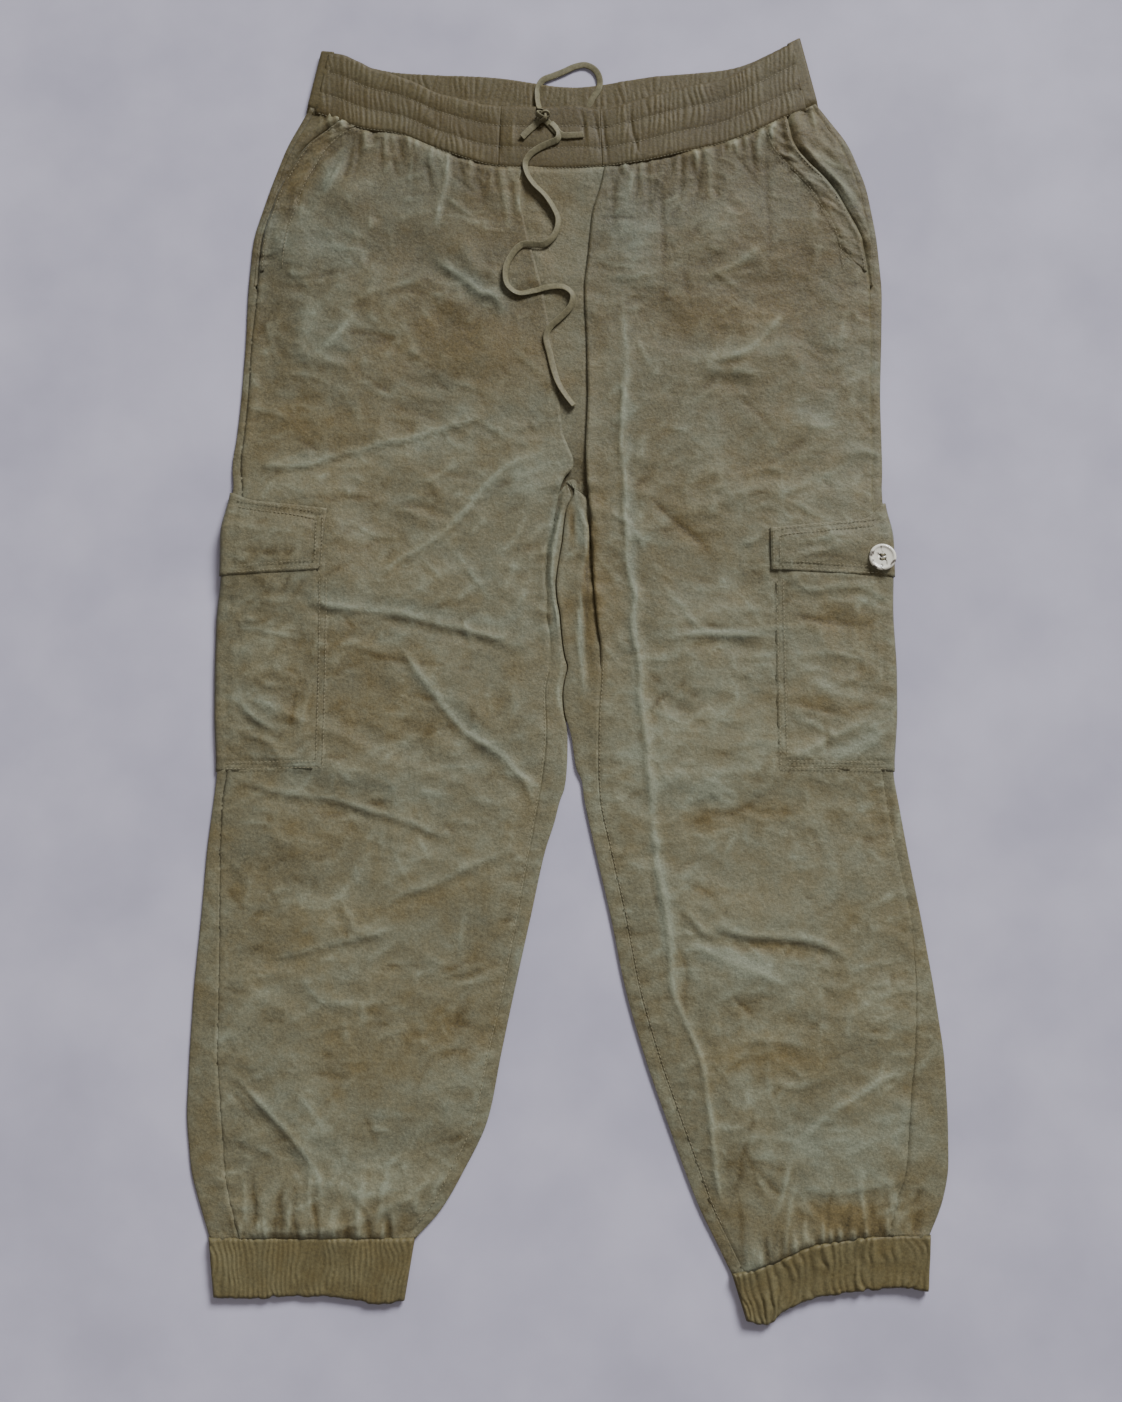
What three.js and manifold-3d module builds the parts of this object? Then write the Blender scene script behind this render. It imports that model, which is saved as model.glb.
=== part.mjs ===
// Pull-on cargo pants, laid flat with the front up and the legs spread.
// Millimetres. +X is the wearer's left, +Y runs from the cuffs to the waist, +Z is up.
// Every cloth piece is a wall worked out from sections across the garment; a piece that
// lies on another is made from that one's points, moved out.
import * as THREE from 'three';
import Module from 'manifold-3d';
import { mergeVertices } from 'three/addons/utils/BufferGeometryUtils.js';

// ---------------------------------------------------------------- driving sizes
const CLOTH = 1.1;                    // wall of one layer of cloth
const GAP = 0.3;                      // clearance at seams and between layers
const LAYER = CLOTH + GAP;
const LEG_HEIGHT = 2 * CLOTH + GAP;   // a leg pressed flat: two layers
const WAIST_WALL = 2.6;               // elastic and its casing
const CUFF_WALL = 2.2;
const FOLD_STEPS = 3;                 // chords round each side fold
const PUFF = 2.0;                     // how far the top layer stands off the lower one
const PUFF_OUTER_REACH = 45;
const PUFF_INNER_REACH = 30;
const GATHER_HEIGHT = 1.3;            // extra height where cloth gathers into a band
const GATHER_REACH = 45;
const WELT_WIDTH = 22;
const POCKET_DEPTH_UNDER = 82;        // how far the cargo pocket goes on under the leg
const POCKET_FADE_UNDER = 125;        // where the lower layer is back on the ground
const POCKET_REACH = 90;              // from the outer fold to the pocket's front edge
const CURL_START = 140;               // below this height the legs part
const CENTRE_BACK = -2;
const BAND_SIDE_WRAP = 7;             // the back band shows this far over the side fold
const CHANNEL_SWELL = 0.6;
const BAND_CLEARANCE = 0.9;           // the legs stop this far short of the bands
const TAPE_RADIUS = 1.5;
const FLY_TOP = 385.6;
const HOLE_SIDES = 12;
const LEFT_BUTTON = { x: 242.6, y: 64.5, restsOn: 234 };
const RIGHT_BUTTON = { x: -256, y: 64.5 };
const BUTTON = { radius: 10.5, height: 2.6, rim: 2.2, dish: 0.8, holeRadius: 1.1, holeSpacing: 2.3 };

const COLOURS = {
  cloth: 0x7a7350,
  clothUnder: 0x6d6644,
  band: 0x746c48,
  tape: 0x827a56,
  button: 0xcfc8b4,
};

// ---------------------------------------------------------------- tables
// One row for each section across a leg, from the waist seam to the cuff seam.
// y: height at the pocket's front edge; rise: how much higher the section is at the outer fold;
// outer, inner: the leg's outline; seam, inseam: how far the side seam and inseam lie inside it;
// edge: outer edge of the front panel where the slant pocket cuts it (0: the side seam);
// pocket: the cargo pocket's front edge; fold: the long crease down the front;
// centre: the front panel's inner edge above the crotch (0: the inseam);
// lift: layers of cargo pocket and flap that wrap under the leg.
const LEFT_SECTIONS = [
  { y: 430, rise: 0, outer: 206, inner: 0, seam: 6, inseam: 20, edge: 178, pocket: 132, fold: 64, centre: 29, lift: 0 },
  { y: 404, rise: 0, outer: 228, inner: 0, seam: 6, inseam: 20, edge: 183, pocket: 136, fold: 60, centre: 27, lift: 0 },
  { y: 370, rise: 0, outer: 241.5, inner: 0, seam: 6, inseam: 20, edge: 213, pocket: 150, fold: 56, centre: 20, lift: 0 },
  { y: 330, rise: 0, outer: 248.5, inner: 0, seam: 5, inseam: 20, edge: 236, pocket: 155, fold: 52, centre: 18, lift: 0 },
  { y: 285, rise: 0, outer: 251.5, inner: 0, seam: 7, inseam: 20, edge: 242, pocket: 158, fold: 48, centre: 13, lift: 0 },
  { y: 240, rise: 0, outer: 249.5, inner: 0, seam: 7, inseam: 20, edge: 0, pocket: 158, fold: 44, centre: 15, lift: 0 },
  { y: 195, rise: 0, outer: 247, inner: 0, seam: 7, inseam: 20, edge: 0, pocket: 158, fold: 43, centre: 16, lift: 0 },
  { y: 155, rise: 4, outer: 247, inner: 0, seam: 7, inseam: 20, edge: 0, pocket: 158, fold: 43, centre: 14, lift: 0 },
  { y: 125, rise: 12, outer: 247, inner: -1, seam: 7, inseam: 18, edge: 0, pocket: 158, fold: 44, centre: 0, lift: 0 },
  { y: 92, rise: 18, outer: 248, inner: -9, seam: 7, inseam: 27, edge: 0, pocket: 158, fold: 46, centre: 0, lift: 2 },
  { y: 76, rise: 9, outer: 254, inner: -12, seam: 9, inseam: 30, edge: 0, pocket: 159, fold: 48, centre: 0, lift: 2 },
  { y: 55, rise: -4, outer: 254, inner: -13, seam: 9, inseam: 33, edge: 0, pocket: 160, fold: 50, centre: 0, lift: 2 },
  { y: 20, rise: -2, outer: 251.5, inner: -6, seam: 9, inseam: 29, edge: 0, pocket: 159, fold: 53, centre: 0, lift: 1 },
  { y: -20, rise: 0, outer: 253, inner: -2, seam: 9, inseam: 26, edge: 0, pocket: 159, fold: 57, centre: 0, lift: 1 },
  { y: -60, rise: 0, outer: 252, inner: -2, seam: 9, inseam: 24, edge: 0, pocket: 159, fold: 60, centre: 0, lift: 1 },
  { y: -99, rise: -2, outer: 248, inner: 7.5, seam: 8, inseam: 14, edge: 0, pocket: 162, fold: 61, centre: 0, lift: 1 },
  { y: -120, rise: 0, outer: 250, inner: 12, seam: 8, inseam: 10, edge: 0, pocket: 163, fold: 63, centre: 0, lift: 0 },
  { y: -160, rise: 0, outer: 256, inner: 20.5, seam: 8, inseam: 10, edge: 0, pocket: 168, fold: 67, centre: 0, lift: 0 },
  { y: -210, rise: 0, outer: 264.5, inner: 32, seam: 7, inseam: 10, edge: 0, pocket: 175, fold: 73, centre: 0, lift: 0 },
  { y: -260, rise: 0, outer: 272, inner: 42, seam: 12, inseam: 9, edge: 0, pocket: 182, fold: 84, centre: 0, lift: 0 },
  { y: -310, rise: 0, outer: 278, inner: 56, seam: 21, inseam: 9, edge: 0, pocket: 188, fold: 97, centre: 0, lift: 0 },
  { y: -355, rise: 0, outer: 279, inner: 71.5, seam: 28, inseam: 9, edge: 0, pocket: 190, fold: 106, centre: 0, lift: 0 },
  { y: -395, rise: 0, outer: 278, inner: 86, seam: 31, inseam: 9, edge: 0, pocket: 192, fold: 115, centre: 0, lift: 0 },
  { y: -420, rise: 0, outer: 272, inner: 96, seam: 34, inseam: 9, edge: 0, pocket: 192, fold: 124, centre: 0, lift: 0 },
  { y: -440, rise: 0, outer: 263, inner: 117, seam: 30, inseam: 9, edge: 0, pocket: 193, fold: 140, centre: 0, lift: 0 },
];
const RIGHT_SECTIONS = [
  { y: 430, rise: 0, outer: 213, inner: 4, seam: 5, inseam: 20, edge: 186, pocket: 146, fold: 92, centre: 37, lift: 0 },
  { y: 404, rise: 0, outer: 227.5, inner: 4, seam: 5, inseam: 20, edge: 212, pocket: 160, fold: 92, centre: 38, lift: 0 },
  { y: 370, rise: 0, outer: 240, inner: 4, seam: 5, inseam: 20, edge: 232, pocket: 172, fold: 95, centre: 37, lift: 0 },
  { y: 330, rise: 0, outer: 252.5, inner: 4, seam: 4, inseam: 20, edge: 245, pocket: 178, fold: 98, centre: 32, lift: 0 },
  { y: 285, rise: 0, outer: 255.5, inner: 4, seam: 4, inseam: 20, edge: 248, pocket: 180, fold: 100, centre: 20, lift: 0 },
  { y: 240, rise: 0, outer: 256, inner: 4, seam: 4, inseam: 20, edge: 0, pocket: 182, fold: 100, centre: 12, lift: 0 },
  { y: 195, rise: 0, outer: 258, inner: 4, seam: 5, inseam: 20, edge: 0, pocket: 184, fold: 98, centre: 7, lift: 0 },
  { y: 158, rise: 4, outer: 260.5, inner: 4, seam: 5, inseam: 20, edge: 0, pocket: 186, fold: 96, centre: 3, lift: 0 },
  { y: 128, rise: 12, outer: 264, inner: 4, seam: 6, inseam: 9, edge: 0, pocket: 188, fold: 94, centre: 0, lift: 0 },
  { y: 103, rise: 15, outer: 263.5, inner: 11, seam: 7, inseam: 9, edge: 0, pocket: 188, fold: 92, centre: 0, lift: 2 },
  { y: 80, rise: 8, outer: 270.5, inner: 15, seam: 9, inseam: 9, edge: 0, pocket: 187, fold: 92, centre: 0, lift: 2 },
  { y: 55, rise: -5, outer: 269.5, inner: 16, seam: 9, inseam: 9, edge: 0, pocket: 186, fold: 92, centre: 0, lift: 2 },
  { y: 20, rise: -2, outer: 271.5, inner: 9, seam: 9, inseam: 10, edge: 0, pocket: 184, fold: 92, centre: 0, lift: 1 },
  { y: -20, rise: 0, outer: 271.5, inner: 5, seam: 9, inseam: 11, edge: 0, pocket: 183, fold: 92, centre: 0, lift: 1 },
  { y: -60, rise: 0, outer: 270.5, inner: 5, seam: 9, inseam: 12, edge: 0, pocket: 183, fold: 93, centre: 0, lift: 1 },
  { y: -97, rise: -3, outer: 267.5, inner: 1, seam: 7, inseam: 14, edge: 0, pocket: 184, fold: 95, centre: 0, lift: 1 },
  { y: -120, rise: 0, outer: 268.5, inner: 5, seam: 6, inseam: 16, edge: 0, pocket: 186, fold: 97, centre: 0, lift: 0 },
  { y: -160, rise: 0, outer: 272.5, inner: 17, seam: 9, inseam: 12, edge: 0, pocket: 190, fold: 105, centre: 0, lift: 0 },
  { y: -210, rise: 0, outer: 275, inner: 28, seam: 13, inseam: 9, edge: 0, pocket: 195, fold: 113, centre: 0, lift: 0 },
  { y: -260, rise: 0, outer: 278.5, inner: 39, seam: 18, inseam: 8, edge: 0, pocket: 200, fold: 120, centre: 0, lift: 0 },
  { y: -310, rise: 0, outer: 280, inner: 49.5, seam: 20, inseam: 8, edge: 0, pocket: 204, fold: 128, centre: 0, lift: 0 },
  { y: -355, rise: 0, outer: 280.5, inner: 58.5, seam: 25, inseam: 8, edge: 0, pocket: 206, fold: 134, centre: 0, lift: 0 },
  { y: -395, rise: 0, outer: 275.5, inner: 77.5, seam: 24, inseam: 8, edge: 0, pocket: 206, fold: 142, centre: 0, lift: 0 },
  { y: -420, rise: 0, outer: 267.5, inner: 92.5, seam: 22, inseam: 8, edge: 0, pocket: 204, fold: 148, centre: 0, lift: 0 },
  { y: -439, rise: 0, outer: 261, inner: 110, seam: 21, inseam: 8, edge: 0, pocket: 200, fold: 152, centre: 0, lift: 0 },
];

// Ridges of the largest folds: from one end to the other, half width and height.
const RIDGES = [
  { name: 'fly fold', x0: 20, y0: 385, x1: 14, y1: 160, half: 16, height: 1.6 },
  { name: 'left pleat near fly', x0: 72, y0: 400, x1: 77, y1: 290, half: 18, height: 1.6 },
  { name: 'left outer pleat', x0: 160, y0: 405, x1: 163, y1: 300, half: 20, height: 1.4 },
  { name: 'right pleat', x0: -95, y0: 400, x1: -108, y1: 325, half: 18, height: 1.6 },
  { name: 'long left crease, thigh', x0: 45, y0: 215, x1: 61, y1: -95, half: 17, height: 2.4 },
  { name: 'long left crease, shin', x0: 61, y0: -95, x1: 120, y1: -410, half: 17, height: 2.4 },
  { name: 'left knee', x0: 80, y0: 3, x1: 160, y1: 5, half: 22, height: 1.2 },
  { name: 'left shin upper', x0: 84, y0: -208, x1: 205, y1: -240, half: 26, height: 1.8 },
  { name: 'left shin lower', x0: 150, y0: -400, x1: 250, y1: -330, half: 26, height: 1.6 },
  { name: 'right hip', x0: -235, y0: 138, x1: -40, y1: 182, half: 24, height: 1.8 },
  { name: 'right crotch', x0: -120, y0: 62, x1: -12, y1: 150, half: 22, height: 1.8 },
  { name: 'right thigh', x0: -180, y0: 28, x1: -30, y1: 4, half: 22, height: 1.8 },
  { name: 'right thigh to inseam', x0: -130, y0: -5, x1: -15, y1: -118, half: 20, height: 2.2 },
  { name: 'right knee', x0: -240, y0: -104, x1: -92, y1: -148, half: 22, height: 1.8 },
  { name: 'right shin', x0: -140, y0: -202, x1: -38, y1: -160, half: 22, height: 1.4 },
  { name: 'right ankle', x0: -238, y0: -325, x1: -168, y1: -410, half: 26, height: 1.8 },
];

const WAIST_BLEND_START = 330;        // sections bend to the waist seam above this height
const CUFF_BLEND_START = -380;        // and to the cuff seam below this one

// Columns across the front waistband: upper edge and lower edge.
const FRONT_BAND = [
  { xTop: -202, yTop: 490, xLow: -213, yLow: 437 },
  { xTop: -186, yTop: 489, xLow: -195, yLow: 431 },
  { xTop: -160, yTop: 476, xLow: -165, yLow: 420 },
  { xTop: -133, yTop: 467, xLow: -138, yLow: 416 },
  { xTop: -100, yTop: 452, xLow: -103, yLow: 402 },
  { xTop: -54, yTop: 442, xLow: -56, yLow: 388 },
  { xTop: -14, yTop: 443, xLow: -14, yLow: 386 },
  { xTop: 26, yTop: 440, xLow: 28, yLow: 388 },
  { xTop: 56, yTop: 448, xLow: 59, yLow: 392 },
  { xTop: 90, yTop: 458, xLow: 94, yLow: 400 },
  { xTop: 127, yTop: 467, xLow: 130, yLow: 409 },
  { xTop: 155, yTop: 482, xLow: 158, yLow: 421 },
  { xTop: 175, yTop: 493, xLow: 181, yLow: 432 },
  { xTop: 191, yTop: 502, xLow: 205, yLow: 440 },
];
const BAND_PIECES = [
  { name: 'waistband_front_right', first: 0, last: 5 },
  { name: 'waistband_front_centre', first: 5, last: 7 },
  { name: 'waistband_front_left', first: 7, last: 13 },
];
const BACK_BAND = [
  { xTop: -202, yTop: 490, xLow: -213, yLow: 437 },
  { xTop: -136, yTop: 472, xLow: -131, yLow: 417 },
  { xTop: -60, yTop: 468, xLow: -60, yLow: 408 },
  { xTop: 4, yTop: 459, xLow: 2, yLow: 404 },
  { xTop: 70, yTop: 469, xLow: 70, yLow: 408 },
  { xTop: 130, yTop: 475, xLow: 124, yLow: 415.4 },
  { xTop: 191, yTop: 502, xLow: 205, yLow: 440 },
];

// Columns across each cuff, outer side first: seam edge and open edge.
const CUFFS = {
  left: [
    { xTop: 263, yTop: -437.5, xLow: 260, yLow: -476 },
    { xTop: 222, yTop: -438, xLow: 222, yLow: -475 },
    { xTop: 181, yTop: -443, xLow: 184, yLow: -480 },
    { xTop: 159, yTop: -451.2, xLow: 158, yLow: -488 },
    { xTop: 138, yTop: -459, xLow: 142, yLow: -499 },
    { xTop: 118, yTop: -464, xLow: 128, yLow: -497 },
  ],
  right: [
    { xTop: -261, yTop: -439, xLow: -256, yLow: -480 },
    { xTop: -232, yTop: -439, xLow: -230, yLow: -481 },
    { xTop: -200, yTop: -439, xLow: -200, yLow: -479 },
    { xTop: -160, yTop: -439, xLow: -160, yLow: -481 },
    { xTop: -135, yTop: -439, xLow: -138, yLow: -485 },
    { xTop: -111, yTop: -439, xLow: -118, yLow: -483 },
  ],
};

// The seams along the bands' edges, as height over x.
const seamUnder = (columns) => columns.map((column) => ({ x: column.xLow, y: column.yLow }));
const seamOver = (columns) => columns.map((column) => ({ x: column.xTop, y: column.yTop }));
const FRONT_WAIST_SEAM = seamUnder(FRONT_BAND);
const BACK_WAIST_SEAM = seamUnder(BACK_BAND);
const CUFF_SEAM = [...seamOver(CUFFS.right), ...seamOver(CUFFS.left).toReversed()];

// The drawstring's route, by hand. under: thickness of what the tape lies on.
const TAPE_ROUTES = {
  drawstring_loop: [
    { x: 20, y: 450, under: 2.9 }, { x: 25, y: 457, under: 3.2 }, { x: 26.5, y: 466, under: 2.2 },
    { x: 23, y: 475, under: 0.4 }, { x: 15, y: 480, under: 0.4 }, { x: 6, y: 478.5, under: 0.4 },
    { x: -3, y: 474, under: 0.4 }, { x: -12, y: 470, under: 1.6 }, { x: -20, y: 466, under: 3.2 },
    { x: -24, y: 459, under: 4.2 }, { x: -24.5, y: 450, under: 5.4 }, { x: -23.5, y: 443, under: 6.4 },
    { x: -22, y: 437.5, under: 7 },
  ],
  drawstring_short: [
    { x: -25.5, y: 424.5, under: 6.4 }, { x: -29, y: 420.5, under: 6.2 }, { x: -33, y: 417, under: 6.2 },
    { x: -37, y: 412.5, under: 6.2 },
  ],
  drawstring_exit: [
    { x: 13, y: 415.5, under: 6.2 }, { x: 8, y: 415, under: 6.2 }, { x: 3, y: 414.7, under: 6.2 },
    { x: -3, y: 414.5, under: 6.2 },
  ],
  drawstring_long: [
    { x: -13.5, y: 426, under: 6.4 }, { x: -9.5, y: 421.5, under: 6.2 }, { x: -7, y: 416, under: 6.2 },
    { x: -8.5, y: 410.5, under: 6.2 }, { x: -15, y: 407.5, under: 6.2 }, { x: -23, y: 403.5, under: 6.2 },
    { x: -30, y: 398, under: 6.2 }, { x: -34, y: 390.5, under: 6.4 }, { x: -32.5, y: 381, under: 6.6 },
    { x: -27, y: 372, under: 6 }, { x: -19, y: 364, under: 5.4 }, { x: -12, y: 354, under: 5 },
    { x: -7.5, y: 343, under: 5 }, { x: -10, y: 331, under: 5 }, { x: -18, y: 322, under: 5 },
    { x: -28, y: 321.5, under: 5.4 }, { x: -37, y: 321, under: 6.4 }, { x: -45, y: 312, under: 6.8 },
    { x: -49.5, y: 300, under: 6.8 }, { x: -48, y: 287.5, under: 6.4 }, { x: -39, y: 281, under: 6.2 },
    { x: -27, y: 283, under: 6.2 }, { x: -14, y: 286, under: 5.8 }, { x: -3, y: 285.5, under: 5 },
    { x: 4, y: 279, under: 5 }, { x: 2, y: 269, under: 5 }, { x: -6, y: 260, under: 5 },
    { x: -14, y: 252, under: 5.6 }, { x: -17, y: 243, under: 6 }, { x: -14, y: 230, under: 5.8 },
    { x: -11, y: 217, under: 5.6 }, { x: -7, y: 205, under: 5 }, { x: -1, y: 195, under: 5 },
    { x: 5, y: 187, under: 5 },
  ],
};
const KNOT = { x: -20, y: 430.5, under: 5.9, rx: 6.2, ry: 5.2, rz: 3.6 };

// ---------------------------------------------------------------- small helpers
const lerp = (a, b, t) => a + (b - a) * t;
const clamp01 = (t) => Math.min(1, Math.max(0, t));
const smooth = (t) => clamp01(t) ** 2 * (3 - 2 * clamp01(t));
const point = (x, y, z) => new THREE.Vector3(x, y, z);

// Height of a table's curve at x, straight between its rows.
function heightAt(table, x) {
  const last = table.length - 1;
  if (x <= table[0].x) return table[0].y;
  if (x >= table[last].x) return table[last].y;
  const next = table.findIndex((row) => row.x > x);
  const from = table[next - 1];
  const to = table[next];
  return lerp(from.y, to.y, (x - from.x) / (to.x - from.x));
}

// Sum of the ridges' heights over one place.
function ridgeHeight(x, y) {
  let total = 0;
  for (const ridge of RIDGES) {
    const dx = ridge.x1 - ridge.x0;
    const dy = ridge.y1 - ridge.y0;
    const length = Math.hypot(dx, dy);
    const along = ((x - ridge.x0) * dx + (y - ridge.y0) * dy) / length;
    const across = Math.abs((x - ridge.x0) * dy - (y - ridge.y0) * dx) / length;
    const taper = smooth((along + ridge.half) / (2 * ridge.half))
      * smooth((length + ridge.half - along) / (2 * ridge.half));
    total += ridge.height * taper * smooth(1 - across / ridge.half);
  }
  return total;
}

// One closed wall between two grids of points, outer skin first.
function wall(outer, inner, closed = false) {
  const rows = outer.length;
  const columns = outer[0].length;
  const positions = [outer, inner].flat(2).flatMap((p) => [p.x, p.y, p.z]);
  const at = (layer, i, j) => (layer * rows + i) * columns + (j % columns);
  const index = [];
  const quad = (a, b, c, d) => index.push(a, b, c, a, c, d);
  const spans = closed ? columns : columns - 1;
  for (let i = 0; i < rows - 1; i += 1) {
    for (let j = 0; j < spans; j += 1) {
      quad(at(0, i, j), at(0, i + 1, j), at(0, i + 1, j + 1), at(0, i, j + 1));
      quad(at(1, i, j), at(1, i, j + 1), at(1, i + 1, j + 1), at(1, i + 1, j));
    }
  }
  for (let j = 0; j < spans; j += 1) {
    quad(at(0, 0, j), at(0, 0, j + 1), at(1, 0, j + 1), at(1, 0, j));
    quad(at(0, rows - 1, j), at(1, rows - 1, j), at(1, rows - 1, j + 1), at(0, rows - 1, j + 1));
  }
  for (let i = 0; !closed && i < rows - 1; i += 1) {
    quad(at(0, i, 0), at(1, i, 0), at(1, i + 1, 0), at(0, i + 1, 0));
    const j = columns - 1;
    quad(at(0, i, j), at(0, i + 1, j), at(1, i + 1, j), at(1, i, j));
  }
  return facingOut(positions, index);
}

// A geometry whose triangles face out: the signed volume tells which way they run.
function facingOut(positions, index) {
  const corner = (k) => point(...positions.slice(3 * index[k], 3 * index[k] + 3));
  let volume = 0;
  for (let k = 0; k < index.length; k += 3) {
    volume += corner(k).dot(corner(k + 1).cross(corner(k + 2)));
  }
  const geometry = new THREE.BufferGeometry();
  geometry.setAttribute('position', new THREE.Float32BufferAttribute(positions, 3));
  geometry.setIndex(volume < 0 ? index.toReversed() : index);
  geometry.computeVertexNormals();
  return geometry;
}

// ---------------------------------------------------------------- legs
// A leg works in its own outward distance: side is +1 for the wearer's left, -1 for the right.
const LEGS = {
  left: { name: 'left', side: 1, sections: LEFT_SECTIONS, underButton: 0, centreBack: CENTRE_BACK },
  right: { name: 'right', side: -1, sections: RIGHT_SECTIONS, underButton: BUTTON.height + GAP,
    centreBack: -CENTRE_BACK },
};

// Height of the lower layer's skin under a section, at distance w inside the outer fold.
function liftAt(leg, section, w) {
  const button = section.lift > 1 ? leg.underButton : 0;
  const fade = 1 - clamp01((w - POCKET_DEPTH_UNDER) / (POCKET_FADE_UNDER - POCKET_DEPTH_UNDER));
  return (section.lift * LAYER + button) * fade;
}

// The leg's own outer fold: the pockets that roll round it keep the outline.
function foldEdge(section) {
  return section.outer - section.lift * LAYER;
}

// Height along the garment of a section's point, bent to the waist seam and the cuff seam.
function sectionY(leg, section, reach, seam) {
  const w = foldEdge(section) - reach;
  const y = section.y + section.rise * (1 - clamp01(w / POCKET_REACH));
  const x = leg.side * reach;
  const top = leg.sections[0].y;
  const bottom = leg.sections[leg.sections.length - 1].y;
  if (y > WAIST_BLEND_START) {
    const share = (y - WAIST_BLEND_START) / (top - WAIST_BLEND_START);
    return lerp(WAIST_BLEND_START, heightAt(seam, x) - BAND_CLEARANCE, share);
  }
  if (y < CUFF_BLEND_START) {
    const share = (CUFF_BLEND_START - y) / (CUFF_BLEND_START - bottom);
    return lerp(CUFF_BLEND_START, heightAt(CUFF_SEAM, x) + BAND_CLEARANCE, share);
  }
  return y;
}

// Height of the top layer's upper skin.
function topHeight(leg, section, reach, y) {
  const w = foldEdge(section) - reach;
  const fromInner = section.centre ? PUFF_INNER_REACH : reach - section.inner;
  const ends = smooth(w / PUFF_OUTER_REACH) * smooth(fromInner / PUFF_INNER_REACH);
  const toWaist = leg.sections[0].y - section.y;
  const toCuff = section.y - leg.sections[leg.sections.length - 1].y;
  const gather = GATHER_HEIGHT * smooth(1 - Math.min(toWaist, toCuff) / GATHER_REACH);
  const ridges = ridgeHeight(leg.side * reach, y) * smooth(w / PUFF_OUTER_REACH);
  return liftAt(leg, section, w) + LEG_HEIGHT + (PUFF + gather) * ends + ridges * smooth(fromInner / 12);
}

// One point of the top layer, moved down by depth (or up, where depth is negative).
function topPoint(leg, section, reach, depth, seam = FRONT_WAIST_SEAM) {
  const y = sectionY(leg, section, reach, seam);
  return point(leg.side * reach, y, topHeight(leg, section, reach, y) - depth);
}

const sideSeam = (section) => foldEdge(section) - section.seam;
const frontEdge = (section) => (section.edge ? section.edge : sideSeam(section) - GAP);
const frontInner = (section) => (section.centre ? section.centre : section.inner + section.inseam);

// The front panel's columns, outer edge first: across the welt, to the pocket, to the long
// crease and on to the inner edge.
function frontReaches(section) {
  const edge = frontEdge(section);
  const inner = frontInner(section);
  const welt = edge - WELT_WIDTH;
  const outer = [edge, welt, lerp(welt, section.pocket, 0.5), section.pocket];
  const thigh = [0.28, 0.56, 0.82, 1].map((t) => lerp(section.pocket, section.fold, t));
  const inside = [0.3, 0.62, 1].map((t) => lerp(section.fold, inner, t));
  return [...outer, ...thigh, ...inside];
}
const POCKET_COLUMN = 3;

function frontPanel(leg) {
  const skin = (depth) => leg.sections.map((section) => frontReaches(section)
    .map((reach) => topPoint(leg, section, reach, depth)));
  return wall(skin(0), skin(CLOTH));
}

// Points round a side fold, from the upper layer to the lower one.
function foldArc(side, edge, y, low, height, depth) {
  const radius = height / 2;
  const points = [];
  for (let step = 0; step <= FOLD_STEPS; step += 1) {
    const angle = Math.PI * (0.5 - step / FOLD_STEPS);
    const x = side * (edge - radius + (radius - depth) * Math.cos(angle));
    points.push(point(x, y, low + radius + (radius - depth) * Math.sin(angle)));
  }
  return points;
}

// The outer part of a section: side seam, fold, and the lower layer in to the pocket's far edge.
function outerWrap(leg, section, depth) {
  const edge = foldEdge(section);
  const low = liftAt(leg, section, 0);
  const y = sectionY(leg, section, edge, BACK_WAIST_SEAM);
  const lower = [POCKET_DEPTH_UNDER / 2, POCKET_DEPTH_UNDER].map((w) => point(
    leg.side * (edge - w),
    sectionY(leg, section, edge - w, BACK_WAIST_SEAM),
    low + depth,
  ));
  return [
    topPoint(leg, section, sideSeam(section), depth, BACK_WAIST_SEAM),
    ...foldArc(leg.side, edge, y, low, LEG_HEIGHT, depth),
    ...lower,
  ];
}

// The lower layer from the pocket's far edge to the inner leg.
function lowerRun(leg, section, depth, end) {
  const start = foldEdge(section) - POCKET_FADE_UNDER;
  return [0, 0.5, 1].map((t) => lerp(start, end, t)).map((reach) => point(
    leg.side * reach,
    sectionY(leg, section, reach, BACK_WAIST_SEAM),
    depth,
  ));
}

// The inner end of a section: rolled round the inner leg up to the inseam where the legs are
// apart, and flat on the ground up to the centre-back seam above the crotch.
function innerEnd(leg, section, depth) {
  const radius = LEG_HEIGHT / 2;
  if (section.y < CURL_START) {
    const arc = foldArc(-leg.side, -section.inner, sectionY(leg, section, section.inner, BACK_WAIST_SEAM),
      0, LEG_HEIGHT, depth).reverse();
    const tip = topPoint(leg, section, frontInner(section) - GAP, depth, BACK_WAIST_SEAM);
    return { runEnd: section.inner + radius, points: [...arc.slice(1), tip] };
  }
  const centre = leg.centreBack + GAP / 2;
  const wrap = Math.PI * radius + section.inseam;
  const shares = Array.from({ length: FOLD_STEPS }, (_, k) => ((k + 1) / FOLD_STEPS) * 0.2);
  const points = [...shares, 1].map((share) => {
    const reach = centre + wrap * (1 - share);
    return point(leg.side * reach, sectionY(leg, section, reach, BACK_WAIST_SEAM), depth);
  });
  return { runEnd: centre + wrap, points };
}

function backPanel(leg) {
  const skin = (depth) => leg.sections.map((section) => {
    const { runEnd, points } = innerEnd(leg, section, depth);
    return [...outerWrap(leg, section, depth), ...lowerRun(leg, section, depth, runEnd), ...points];
  });
  return wall(skin(0), skin(CLOTH));
}

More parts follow.
